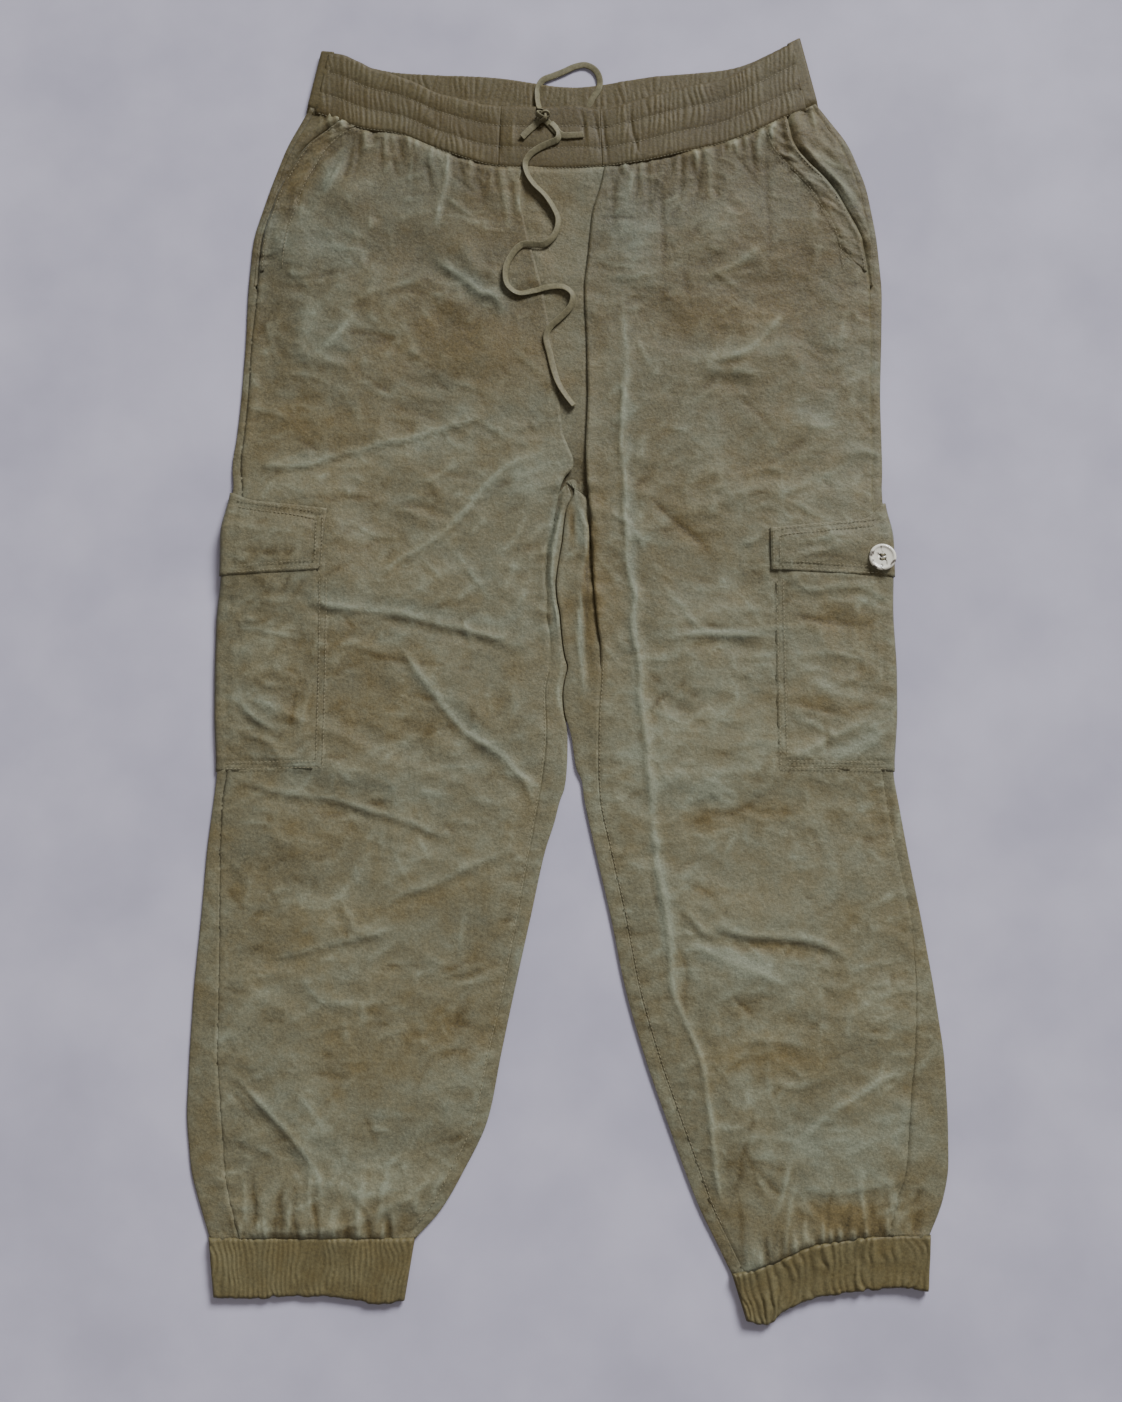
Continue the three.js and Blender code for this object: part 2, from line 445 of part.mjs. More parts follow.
// A patch on the leg, from the pocket's front edge round the outer fold, moved out by layers.
function legPatch(leg, firstRow, lastRow, layers) {
  const skin = (depth) => leg.sections.slice(firstRow, lastRow + 1).map((section) => {
    const front = frontReaches(section).slice(1, POCKET_COLUMN + 1).reverse();
    return [
      ...front.map((reach) => topPoint(leg, section, reach, depth)),
      ...outerWrap(leg, section, depth),
    ];
  });
  const base = -(layers - 1) * LAYER - GAP;
  return wall(skin(base - CLOTH), skin(base));
}

// The stitched band along the slant pocket's opening, on the front panel.
function pocketWelt(leg) {
  const rows = leg.sections.slice(0, 4);
  const skin = (depth) => rows.map((section) => frontReaches(section).slice(0, 2)
    .map((reach) => topPoint(leg, section, reach, depth)));
  return wall(skin(-LAYER), skin(-GAP));
}

// The cloth seen through the slant pocket's opening, out to the side seam.
function pocketFacing(leg) {
  const rows = leg.sections.slice(0, 5);
  const skin = (depth) => rows.map((section) => {
    const from = frontEdge(section) + GAP;
    const to = sideSeam(section) - GAP;
    return [0, 0.5, 1].map((t) => topPoint(leg, section, lerp(from, to, t), depth));
  });
  return wall(skin(0), skin(CLOTH));
}

// The flat strip between the centre-front seam and the fold beside it.
function mockFly() {
  const drop = 0.3;
  const rows = LEFT_SECTIONS.slice(0, 8).map((left, i) => {
    const right = RIGHT_SECTIONS[i];
    const y = sectionY(LEGS.left, left, left.centre, FRONT_WAIST_SEAM);
    const base = topHeight(LEGS.left, left, PUFF_OUTER_REACH, 0) - drop;
    return { from: -right.centre + GAP, to: left.centre - GAP, y: Math.min(y, FLY_TOP), base };
  });
  const skin = (depth) => rows.map((row) => [0, 0.5, 1]
    .map((t) => point(lerp(row.from, row.to, t), row.y, row.base - depth)));
  return wall(skin(0), skin(CLOTH));
}

// ---------------------------------------------------------------- waistband and cuffs
function bandPoint(column, v, z) {
  return point(lerp(column.xTop, column.xLow, v), lerp(column.yTop, column.yLow, v), z);
}

function shifted(column, dx) {
  return { ...column, xTop: column.xTop + dx, xLow: column.xLow + dx };
}

// One piece of the front band: three elastic channels, swelled between their stitch lines.
function frontBandPiece(piece) {
  const columns = FRONT_BAND.slice(piece.first, piece.last + 1);
  const startShift = piece.first === 0 ? BAND_SIDE_WRAP + GAP : GAP / 2;
  const endShift = piece.last === FRONT_BAND.length - 1 ? BAND_SIDE_WRAP + GAP : GAP / 2;
  columns[0] = shifted(columns[0], startShift);
  columns[columns.length - 1] = shifted(columns[columns.length - 1], -endShift);
  const base = WAIST_WALL + GAP;
  const skin = (isOuter) => Array.from({ length: 7 }, (_, row) => columns.map((column) => {
    const swell = row % 2 === 1 ? CHANNEL_SWELL : 0;
    return bandPoint(column, row / 6, isOuter ? base + WAIST_WALL + swell : base);
  }));
  return wall(skin(true), skin(false));
}

// The back band lies under the front one and rolls round both sides.
function backBand() {
  const height = 2 * WAIST_WALL + GAP;
  const first = BACK_BAND[0];
  const last = BACK_BAND[BACK_BAND.length - 1];
  const skin = (depth) => [0, 0.5, 1].map((v) => {
    const start = bandPoint(first, v, 0);
    const end = bandPoint(last, v, 0);
    const startArc = foldArc(-1, -start.x, start.y, 0, height, depth);
    const endArc = foldArc(1, end.x, end.y, 0, height, depth).reverse();
    const floor = BACK_BAND.slice(1, -1).map((column) => bandPoint(column, v, depth));
    return [
      point(start.x + BAND_SIDE_WRAP, start.y, height - depth),
      ...startArc,
      ...floor,
      ...endArc,
      point(end.x - BAND_SIDE_WRAP, end.y, height - depth),
    ];
  });
  return wall(skin(0), skin(WAIST_WALL));
}

// A cuff is a flattened tube: a closed section for each row down the band.
function cuff(leg) {
  const columns = CUFFS[leg.name];
  const height = 2 * CUFF_WALL + GAP;
  const skin = (depth) => [0, 0.5, 1].map((v) => {
    const outer = bandPoint(columns[0], v, 0);
    const inner = bandPoint(columns[columns.length - 1], v, 0);
    const middle = columns.slice(1, -1);
    return [
      ...foldArc(leg.side, leg.side * outer.x, outer.y, 0, height, depth),
      ...middle.map((column) => bandPoint(column, v, depth)),
      ...foldArc(-leg.side, -leg.side * inner.x, inner.y, 0, height, depth).reverse(),
      ...middle.toReversed().map((column) => bandPoint(column, v, height - depth)),
    ];
  });
  return wall(skin(0), skin(CUFF_WALL), true);
}

// ---------------------------------------------------------------- button, tape and knot
const wasm = await Module();
wasm.setup();

function toSolid(geometry) {
  const bare = geometry.clone();
  bare.deleteAttribute('normal');
  bare.deleteAttribute('uv');
  const merged = mergeVertices(bare, 1e-4);
  return new wasm.Manifold(new wasm.Mesh({
    numProp: 3,
    vertProperties: new Float32Array(merged.attributes.position.array),
    triVerts: new Uint32Array(merged.index.array),
  }));
}

function fromSolid(solid) {
  const mesh = solid.getMesh();
  const geometry = new THREE.BufferGeometry();
  geometry.setAttribute('position', new THREE.BufferAttribute(mesh.vertProperties, 3));
  geometry.setIndex(new THREE.BufferAttribute(mesh.triVerts, 1));
  geometry.computeVertexNormals();
  return geometry;
}

// A round dished button with four holes, its back at z = 0.
function buttonGeometry() {
  const { radius, height, rim, dish, holeRadius, holeSpacing } = BUTTON;
  const profile = [
    [0, 0], [radius - 1, 0], [radius, 0.9], [radius, height - 0.7], [radius - 0.8, height],
    [radius - rim, height], [radius - rim - 0.9, height - dish], [0, height - dish],
  ].map(([x, y]) => new THREE.Vector2(x, y));
  const disc = new THREE.LatheGeometry(profile, 32);
  disc.rotateX(Math.PI / 2);
  let solid = toSolid(disc);
  for (const [sx, sy] of [[1, 1], [1, -1], [-1, 1], [-1, -1]]) {
    const hole = new THREE.CylinderGeometry(holeRadius, holeRadius, 3 * height, HOLE_SIDES);
    hole.rotateX(Math.PI / 2);
    hole.translate(sx * holeSpacing, sy * holeSpacing, 0);
    solid = solid.subtract(toSolid(hole));
  }
  return fromSolid(solid);
}

// The tape's stretches: an eight-sided section along a smooth route.
function tapeGeometry(route) {
  const curve = new THREE.CatmullRomCurve3(route.map((p) => point(p.x, p.y, p.under + TAPE_RADIUS)),
    false, 'centripetal');
  const section = new THREE.Shape();
  for (let k = 0; k < 8; k += 1) {
    const angle = (k * Math.PI) / 4;
    section[k ? 'lineTo' : 'moveTo'](TAPE_RADIUS * Math.cos(angle), TAPE_RADIUS * Math.sin(angle));
  }
  section.closePath();
  const steps = Math.max(4, Math.round(curve.getLength() / (5 * TAPE_RADIUS)));
  return new THREE.ExtrudeGeometry(section, { steps, extrudePath: curve, bevelEnabled: false });
}

function knotGeometry() {
  const knot = new THREE.SphereGeometry(1, 14, 9);
  knot.rotateX(Math.PI / 2);
  knot.scale(KNOT.rx, KNOT.ry, KNOT.rz);
  knot.translate(KNOT.x, KNOT.y, KNOT.under + KNOT.rz);
  return knot;
}

// ---------------------------------------------------------------- the garment
const garment = new THREE.Group();

function add(name, geometry, colour, parent = garment) {
  const material = new THREE.MeshStandardMaterial({ color: colour, roughness: 0.8, metalness: 0 });
  const mesh = new THREE.Mesh(geometry, material);
  mesh.name = name;
  parent.add(mesh);
  return mesh;
}

const FLAP_ROWS = { first: 9, last: 11 };
const POCKET_ROWS = { first: 10, last: 15 };

for (const leg of Object.values(LEGS)) {
  add(`front_panel_${leg.name}`, frontPanel(leg), COLOURS.cloth);
  add(`back_panel_${leg.name}`, backPanel(leg), COLOURS.clothUnder);
  add(`pocket_facing_${leg.name}`, pocketFacing(leg), COLOURS.clothUnder);
  add(`pocket_welt_${leg.name}`, pocketWelt(leg), COLOURS.cloth);
  add(`cargo_pocket_${leg.name}`, legPatch(leg, POCKET_ROWS.first, POCKET_ROWS.last, 1), COLOURS.cloth);
  add(`cargo_flap_${leg.name}`, legPatch(leg, FLAP_ROWS.first, FLAP_ROWS.last, 2), COLOURS.cloth);
  add(`cuff_${leg.name}`, cuff(leg), COLOURS.band);
}
add('mock_fly', mockFly(), COLOURS.clothUnder);
for (const piece of BAND_PIECES) add(piece.name, frontBandPiece(piece), COLOURS.band);
add('waistband_back', backBand(), COLOURS.band);

for (const [name, route] of Object.entries(TAPE_ROUTES)) add(name, tapeGeometry(route), COLOURS.tape);
add('drawstring_knot', knotGeometry(), COLOURS.tape);

// The left button lies on the flap; the right one is just under the fold, against the ground.
const leftButton = add('cargo_button_left', buttonGeometry(), COLOURS.button);
const FLAP_SECTION = LEFT_SECTIONS.find((section) => section.y === 76);
const flapTop = topHeight(LEGS.left, FLAP_SECTION, LEFT_BUTTON.restsOn, LEFT_BUTTON.y) + 2 * LAYER + GAP;
leftButton.position.set(LEFT_BUTTON.x, LEFT_BUTTON.y, flapTop);
const rightButton = add('cargo_button_right', buttonGeometry(), COLOURS.button);
rightButton.rotation.x = Math.PI;
rightButton.position.set(RIGHT_BUTTON.x, RIGHT_BUTTON.y, BUTTON.height);

export default garment;
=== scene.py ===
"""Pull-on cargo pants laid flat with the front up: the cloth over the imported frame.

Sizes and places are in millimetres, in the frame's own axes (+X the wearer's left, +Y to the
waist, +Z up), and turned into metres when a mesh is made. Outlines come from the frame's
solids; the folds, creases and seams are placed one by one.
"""

import math

import bpy
import numpy as np
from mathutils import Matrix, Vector


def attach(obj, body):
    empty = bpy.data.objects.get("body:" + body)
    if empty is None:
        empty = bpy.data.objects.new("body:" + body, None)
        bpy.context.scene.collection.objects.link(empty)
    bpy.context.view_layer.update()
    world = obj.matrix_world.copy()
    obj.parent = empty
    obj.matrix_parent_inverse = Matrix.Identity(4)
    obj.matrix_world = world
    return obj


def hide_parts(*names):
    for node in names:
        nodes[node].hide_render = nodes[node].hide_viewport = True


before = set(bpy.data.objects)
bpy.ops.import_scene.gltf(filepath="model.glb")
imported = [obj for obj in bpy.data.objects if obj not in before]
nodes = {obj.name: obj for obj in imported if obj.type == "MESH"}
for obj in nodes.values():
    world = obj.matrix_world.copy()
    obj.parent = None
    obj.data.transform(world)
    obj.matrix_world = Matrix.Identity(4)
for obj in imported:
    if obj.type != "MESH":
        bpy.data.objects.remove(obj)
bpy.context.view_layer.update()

MM = 0.001
CLOTH = 0.55            # thickness of one layer of cloth
LEG_HEIGHT = 2.6        # a leg pressed flat
FOLD_RADIUS = 6.0       # how far in from a side fold the top layer reaches its height
LAYER = 1.4             # room for one more layer of cloth
LAYER_SHOWN = 0.7       # share of that room that pressed cloth takes on top
SEAM_HEIGHT = 4.9       # where a leg is sewn to the waistband or a cuff
SEAM_LAP = 1.6          # the legs go this far under the bands
SIDE_LAP = 4.5          # and this far under the waistband at its two sides
CROTCH_Y = 118.0        # the legs part below this height
WAIST_BEND = 330.0      # rows bend to the waist seam above this height
CUFF_BEND = -380.0      # and to the cuff seam below this one
WAIST_LEVEL = 430.0
CUFF_LEVEL = -440.0


# ---------------------------------------------------------------- numbers
def smooth(t):
    t = np.clip(t, 0, 1)
    return t * t * (3 - 2 * t)


def lerp(a, b, t):
    return a + (b - a) * t


def bell(distance, width):
    """1 at no distance, falling off smoothly; width is where it is down to 0.37."""
    return np.exp(-((distance / width) ** 2))


def smooth_curve(points):
    """A smooth line through (position, value) pairs that doesn't overshoot, straight beyond its ends."""
    rows = np.array(sorted(points), float)
    x, v = rows[:, 0], rows[:, 1]
    step = np.diff(x)
    slope = np.diff(v) / step
    same = slope[:-1] * slope[1:] > 0
    bend = np.zeros(len(x))
    mean = 2 * slope[:-1] * slope[1:] / np.where(same, slope[:-1] + slope[1:], 1)
    bend[1:-1] = np.where(same, mean, 0)
    bend[0], bend[-1] = slope[0], slope[-1]

    def at(q):
        q = np.asarray(q, float)
        k = np.clip(np.searchsorted(x, q) - 1, 0, len(step) - 1)
        t = (q - x[k]) / step[k]
        c = np.clip(t, 0, 1)
        rise = v[k] * (1 + 2 * c) * (1 - c) ** 2 + v[k + 1] * c * c * (3 - 2 * c)
        lean = step[k] * (bend[k] * c * (1 - c) ** 2 + bend[k + 1] * c * c * (c - 1))
        beyond = (t - c) * step[k] * np.where(t < 0, bend[k], bend[k + 1])
        return rise + lean + beyond

    return at


def noise(seed, x, y):
    """Smooth seeded noise from -1 to 1, one cell a unit."""
    size = 97
    lattice = np.random.default_rng(seed).uniform(-1, 1, (size, size))
    x, y = np.broadcast_arrays(np.asarray(x, float), np.asarray(y, float))
    xi, yi = np.floor(x).astype(int), np.floor(y).astype(int)
    tx, ty = x - xi, y - yi
    sx = tx ** 3 * (tx * (6 * tx - 15) + 10)
    sy = ty ** 3 * (ty * (6 * ty - 15) + 10)
    low = lerp(lattice[yi % size, xi % size], lattice[yi % size, (xi + 1) % size], sx)
    high = lerp(lattice[(yi + 1) % size, xi % size], lattice[(yi + 1) % size, (xi + 1) % size], sx)
    return lerp(low, high, sy)


def smooth_path(points, step=4.0):
    """Points along a smooth line through hand-placed ones."""
    p = np.array(points, float)
    p = np.vstack([2 * p[0] - p[1], p, 2 * p[-1] - p[-2]])
    made = []
    for i in range(1, len(p) - 2):
        count = max(2, int(np.linalg.norm(p[i + 1] - p[i]) / step))
        for t in np.arange(count) / count:
            a = 2 * p[i] + (p[i + 1] - p[i - 1]) * t
            b = (2 * p[i - 1] - 5 * p[i] + 4 * p[i + 1] - p[i + 2]) * t * t
            c = (3 * p[i] - p[i - 1] - 3 * p[i + 1] + p[i + 2]) * t ** 3
            made.append((a + b + c) / 2)
    made.append(p[-2])
    return np.array(made)


# ---------------------------------------------------------------- outlines
def node_profile(name, along, places, pick, side=1):
    """Where a CAD node's outline lies at each place along one axis, as a smooth curve."""
    mesh = nodes[name].data
    co = np.array([v.co for v in mesh.vertices]) / MM
    ends = np.array([e.vertices for e in mesh.edges])
    a, b = co[ends[:, 0]], co[ends[:, 1]]
    across = 1 - along
    found = []
    for place in places:
        start, end = a[:, along], b[:, along]
        cut = (np.minimum(start, end) <= place) & (np.maximum(start, end) > place)
        if cut.any():
            t = (place - a[cut, along]) / (b[cut, along] - a[cut, along])
            found.append((place, pick(side * lerp(a[cut, across], b[cut, across], t))))
    values = np.array([v for _, v in found])
    inside = (values[:-2] + 2 * values[1:-1] + values[2:]) / 4
    values = np.concatenate([values[:1], inside, values[-1:]])
    return smooth_curve(list(zip([p for p, _ in found], values)))


# The inner outline of each leg, listed: (y, reach outward from the middle).
RIGHT_INNER = [
    (150, -4), (138, -4), (117, -3.2), (105, 1.6), (92, 3.6), (80, 4.8), (68, 6.8), (55, 8.8), (45, 9.8),
    (32, 8.8), (22, 6.8), (10, 5.8), (0, 4.8), (-12, 3), (-20, 0.8), (-30, 3), (-42, 4.5), (-55, 3.5),
    (-67, 1), (-76, 0.2), (-90, 0.4), (-105, 1.4), (-115, 3), (-121, 5.5), (-140, 10.5), (-160, 17),
    (-210, 28), (-260, 39), (-310, 49.5), (-355, 58.5), (-395, 77.5), (-420, 92.5), (-439, 110),
]
LEFT_INNER = [
    (150, 5), (138, 5), (117, 4.4), (105, -0.6), (92, -2.6), (80, -3.8), (68, -5.8), (55, -7.8), (45, -8.8),
    (32, -7.8), (22, -5.8), (10, -4.8), (0, -3.8), (-12, -2), (-20, 0.2), (-30, -2), (-42, -3.5),
    (-55, -2.5), (-67, 0.8), (-76, 3), (-85, 4.2), (-98, 6.2), (-108, 10.5), (-121, 12.2), (-135, 15),
    (-160, 20.5), (-210, 32), (-260, 42), (-310, 56), (-355, 71.5), (-395, 86), (-420, 96), (-440, 106),
    (-464, 118),
]
# Where the front panel ends at the inseam, in the same terms.
RIGHT_INSEAM = [
    (150, -4.5), (138, -4.5), (130, 2), (120, 6), (110, 8), (90, 12), (75, 16), (60, 17.5), (45, 17.5),
    (35, 16), (20, 16.5), (5, 14), (-20, 13), (-40, 16), (-70, 15), (-100, 17.5), (-120, 20.5),
    (-160, 27.5), (-210, 36.5), (-260, 46), (-310, 57), (-355, 66), (-395, 85), (-420, 99), (-439, 117),
]
LEFT_INSEAM = [
    (150, 14), (138, 14.4), (125, 15), (104, 17), (80, 18), (60, 19), (30, 21), (10, 23), (-5, 25),
    (-30, 24), (-60, 22), (-99, 21.5), (-120, 22.5), (-160, 30.5), (-210, 41.5), (-260, 51),
    (-310, 65), (-355, 80.5), (-395, 95), (-420, 104), (-440, 114), (-464, 126),
]
# Columns across the bands: upper edge and lower edge, as (x, y, x, y).
FRONT_BAND = [
    (-202, 490, -213, 437), (-186, 488, -195, 431), (-160, 476, -165, 420), (-133, 467, -138, 416),
    (-100, 452, -103, 402), (-54, 442.5, -56, 388), (-14, 442, -14, 386), (4, 443.5, 6, 386.5),
    (26, 440, 28, 388), (56, 448, 59, 392), (90, 458, 94, 400), (127, 467, 130, 409), (155, 482, 158, 421),
    (175, 493, 181, 432), (191, 502, 205, 440),
]
BACK_BAND = [
    (-202, 490, -213, 437), (-136, 472, -131, 417), (-60, 468, -60, 408), (4, 459.5, 2, 404),
    (70, 469, 70, 408), (130, 475, 124, 415.4), (191, 502, 205, 440),
]
# Columns across each cuff, outer side first: seam edge and open edge.
CUFFS = {
    "left": [(263, -437.5, 260, -476), (240, -437.5, 240, -474), (222, -438, 222, -475),
             (200, -440.5, 202, -477), (181, -443, 184, -480), (168, -447, 168, -484),
             (159, -451.2, 158, -488), (138, -459, 142, -499),
             (118, -464, 128, -497)],
    "right": [(-261, -439, -256, -480), (-232, -439, -230, -481.5), (-200, -439, -200, -479.5),
              (-160, -439, -160, -481), (-135, -439, -138, -485), (-111, -439, -118, -483)],
}

# Heights at which the outlines are read: all of a leg, along the slant pocket, beside the fly,
# and below the slant pocket.
UP_ROWS = np.arange(-432, 426, 8)
POCKET_ROWS = np.arange(290, 426, 8)
FLY_ROWS = np.arange(150, 384, 8)
SEAM_ROWS = np.arange(-432, 281, 8)


def waist_seam(band):
    """Top edge of the legs under a band: higher at the two sides, where the band turns over."""
    laps = [SIDE_LAP if abs(x) > 190 else SEAM_LAP for _, _, x, _ in band]
    return smooth_curve([(x, y + lap) for (_, _, x, y), lap in zip(band, laps)])


class Leg:
    """One leg's outlines, as distances outward from the middle."""

    def __init__(self, name, side, inner, inseam, button_room):
        self.name = name
        self.side = side
        self.button_room = button_room
        front, back = f"front_panel_{name}", f"back_panel_{name}"
        self.outer = node_profile(back, 1, UP_ROWS, max, side)
        self.front_outer = node_profile(front, 1, UP_ROWS, max, side)
        self.below_pocket = node_profile(front, 1, SEAM_ROWS, max, side)
        self.facing_outer = node_profile(f"pocket_facing_{name}", 1, POCKET_ROWS, max, side)
        self.fly_edge = node_profile(front, 1, FLY_ROWS, min, side)
        self.inner = smooth_curve(inner)
        self.inseam = smooth_curve(inseam)
        self.waist = waist_seam(FRONT_BAND)
        self.back_waist = waist_seam(BACK_BAND)
        self.cuff = smooth_curve([(x, y - SEAM_LAP) for x, y, _, _ in CUFFS[name]])

    def side_seam(self, y):
        return np.where(y < 285, self.below_pocket(y), self.facing_outer(y))

    def front_inner(self, y):
        return lerp(self.inseam(np.minimum(y, 150)), self.fly_edge(y), smooth((y - 142) / 26))


LEGS = [
    Leg("left", 1, LEFT_INNER, LEFT_INSEAM, 0.0),
    Leg("right", -1, RIGHT_INNER, RIGHT_INSEAM, 2.9),
]


def bend_rows(leg, level, x, waist=None):
    """Heights of a level row, bent to the waist seam and the cuff seam near the ends."""
    waist = waist or leg.waist
    up = (level - WAIST_BEND) / (WAIST_LEVEL - WAIST_BEND)
    down = (CUFF_BEND - level) / (CUFF_BEND - CUFF_LEVEL)
    y = np.where(level > WAIST_BEND, lerp(WAIST_BEND, waist(x), up), level)
    return np.where(level < CUFF_BEND, lerp(CUFF_BEND, leg.cuff(x), down), y)


def strip_grid(leg, levels, shares, outside, inside):
    """A grid between two outlines: rows from the waist down, columns from outside to inside."""
    level = np.repeat(np.array(levels, float)[:, None], len(shares), 1)
    share = np.repeat(np.array(shares, float)[None, :], len(levels), 0)
    y = level
    for _ in range(4):
        reach = lerp(outside(y), inside(y), share)
        y = bend_rows(leg, level, leg.side * reach)
    return leg.side * reach, y


# ---------------------------------------------------------------- folds and creases
# Each: height, half width to the left of its travel, to the right, depth of the trough that
# follows on the right as a share of the height, and its path. Negative heights are troughs.
RIGHT_CREASES = [
    (-1.5, 2.0, 2.4, 0, [(-174, 413), (-189, 403), (-201, 391), (-211, 374)]),
    (-1.1, 1.8, 2.0, 0, [(-236, 352), (-226, 378), (-214, 398), (-200, 418)]),
    (1.7, 9, 2.5, 0.6, [(-108, 330), (-102, 355), (-97, 377), (-97, 397)]),
    (1.3, 5, 3.5, 0.4, [(-205, 355), (-195, 365), (-185, 385), (-178, 403)]),
    (0.9, 5, 3, 0.4, [(-178, 401), (-160, 406), (-145, 410)]),
    (1.0, 5, 3, 0.4, [(-142, 372), (-125, 381), (-108, 382)]),
    (0.9, 4, 3, 0.4, [(-150, 380), (-144, 390), (-140, 400)]),
    (1.2, 6, 3.5, 0.5, [(-100, 365), (-85, 352), (-72, 343)]),
    (0.8, 4, 3, 0.4, [(-74, 382), (-62, 368)]),
    (1.1, 4, 3, 0.5, [(-227, 303), (-215, 293), (-199, 280)]),
    (0.9, 4, 3, 0.5, [(-203, 292), (-190, 308)]),
    (1.1, 5, 3, 0.5, [(-192, 329), (-182, 337), (-165, 328), (-148, 321)]),
    (1.9, 10, 7, 0.4, [(-204, 224), (-180, 250), (-163, 272)]),
    (-1.0, 4, 3, 0, [(-178, 247), (-150, 247), (-140, 242)]),
    (1.1, 5, 3, 0.5, [(-140, 243), (-120, 230), (-98, 217)]),
    (1.1, 6, 3.5, 0.5, [(-158, 282), (-140, 285), (-125, 290), (-105, 293)]),
    (2.6, 9, 5, 0.6, [(-108, 318), (-100, 305), (-85, 295), (-70, 282), (-60, 279), (-45, 260)]),
    (0.8, 4, 3, 0.4, [(-117, 284), (-95, 278)]),
    (0.7, 3, 3, 0.4, [(-88, 288), (-83, 273)]),
    (0.8, 3, 3, 0.4, [(-237, 242), (-228, 223)]),
    (1.0, 4, 3, 0.4, [(-242, 264), (-233, 235)]),
    (1.1, 4, 3, 0.4, [(-254, 230), (-248, 210), (-239, 198)]),
    (0.9, 5, 3, 0.4, [(-222, 265), (-205, 265), (-190, 257)]),
    (2.3, 9, 3.2, 0.7, [(-250, 139), (-228, 138), (-212, 138), (-195, 142), (-175, 149), (-150, 155),
                        (-120, 162), (-100, 169), (-85, 173), (-58, 183)]),
    (1.0, 4, 3, 0.4, [(-227, 126), (-212, 119), (-198, 114)]),
    (1.1, 6, 3, 0.5, [(-184, 94), (-165, 91), (-150, 84), (-123, 83)]),
    (2.3, 8, 4, 0.6, [(-147, 46), (-135, 60), (-115, 72), (-100, 82), (-90, 92), (-75, 108), (-60, 128),
                      (-40, 142), (-18, 151)]),
    (1.3, 5, 3, 0.6, [(-100, 22), (-85, 32), (-75, 40), (-60, 49)]),
    (2.6, 8, 4.2, 0.7, [(-205, 31), (-180, 26), (-150, 23), (-130, 21), (-110, 16), (-90, 11), (-60, 3),
                        (-38, 0)]),
    (1.1, 6, 4, 0.5, [(-182, 1), (-160, -4), (-130, -10)]),
    (2.7, 5, 5.5, 0.6, [(-130, -2), (-118, -20), (-105, -38), (-92, -55), (-78, -70), (-60, -82), (-50, -88),
                        (-40, -100), (-30, -112), (-23, -132)]),
    (1.2, 4, 3, 0.5, [(-38, -104), (-28, -110), (-18, -114)]),
    (-1.0, 5, 5, 0, [(-170, -7), (-135, -15), (-85, -20)]),
    (0.7, 5, 3, 0.5, [(-165, -54), (-130, -57), (-98, -63)]),
    (0.8, 5, 3, 0.5, [(-142, -70), (-103, -76)]),
    (1.0, 5, 3, 0.6, [(-118, -101), (-90, -98), (-58, -97)]),
    (1.0, 5, 3.5, 0.5, [(-180, -92), (-170, -104), (-153, -113)]),
    (2.5, 8, 3.8, 0.8, [(-258, -104), (-230, -113), (-210, -118), (-180, -121), (-160, -127), (-140, -133),
                        (-120, -139), (-100, -147), (-84, -148)]),
    (0.8, 4, 3, 0.5, [(-142, -182), (-123, -191)]),
    (2.0, 9, 4, 0.8, [(-142, -206), (-125, -193), (-100, -185), (-75, -173), (-55, -165), (-36, -159)]),
    (0.6, 4, 3, 0.5, [(-200, -203), (-166, -202)]),
    (1.5, 8, 3.5, 0.9, [(-230, -241), (-200, -235), (-170, -228), (-145, -222), (-122, -214)]),
    (1.1, 4, 4, 0.4, [(-157, -246), (-140, -235), (-122, -224)]),
    (1.3, 5, 4, 0.5, [(-202, -248), (-192, -262), (-182, -272), (-170, -273), (-150, -273), (-122, -269)]),
    (-1.0, 4, 4, 0, [(-97, -251), (-63, -239)]),
    (-1.0, 4, 4, 0, [(-87, -259), (-50, -243)]),
    (0.9, 6, 4, 0.5, [(-204, -299), (-175, -290), (-147, -282)]),
    (0.9, 6, 4, 0.5, [(-120, -318), (-95, -306), (-70, -302)]),
    (2.4, 7, 5, 0.7, [(-248, -322), (-230, -340), (-215, -355), (-200, -370), (-185, -390), (-181, -403)]),
    (1.0, 5, 4, 0.5, [(-205, -332), (-190, -347), (-176, -366)]),
    (-1.0, 5, 5, 0, [(-252, -330), (-240, -345), (-222, -364)]),
    (-1.1, 5, 5, 0, [(-252, -362), (-240, -375), (-212, -386)]),
    (0.9, 3, 3, 0.4, [(-178, -430), (-182, -395), (-186, -378)]),
    (-1.0, 4, 4, 0, [(-152, -348), (-145, -362), (-139, -378)]),
    (0.9, 3, 4, 0.4, [(-136, -417), (-133, -400), (-129, -383)]),
    (1.3, 15, 5, 0.3, [(-238, -430), (-200, -434), (-160, -430), (-135, -420), (-110, -406), (-92, -386)]),
    (1.4, 5, 4, 0.5, [(-62, 58), (-45, 75), (-35, 92), (-26, 109)]),
    (0.9, 3, 3, 0.4, [(-34, 76), (-24, 86), (-15, 96)]),
    (0.9, 3, 3, 0.4, [(-39, 26), (-31, 42)]),
    (0.8, 4, 3, 0.4, [(-53, 166), (-38, 159)]),
    (1.0, 5, 4, 0.5, [(-92, 212), (-70, 200), (-52, 196)]),
    (0.8, 5, 4, 0.5, [(-165, 205), (-140, 196), (-112, 194)]),
    (0.9, 6, 4, 0.5, [(-130, 120), (-100, 132), (-78, 150)]),
]
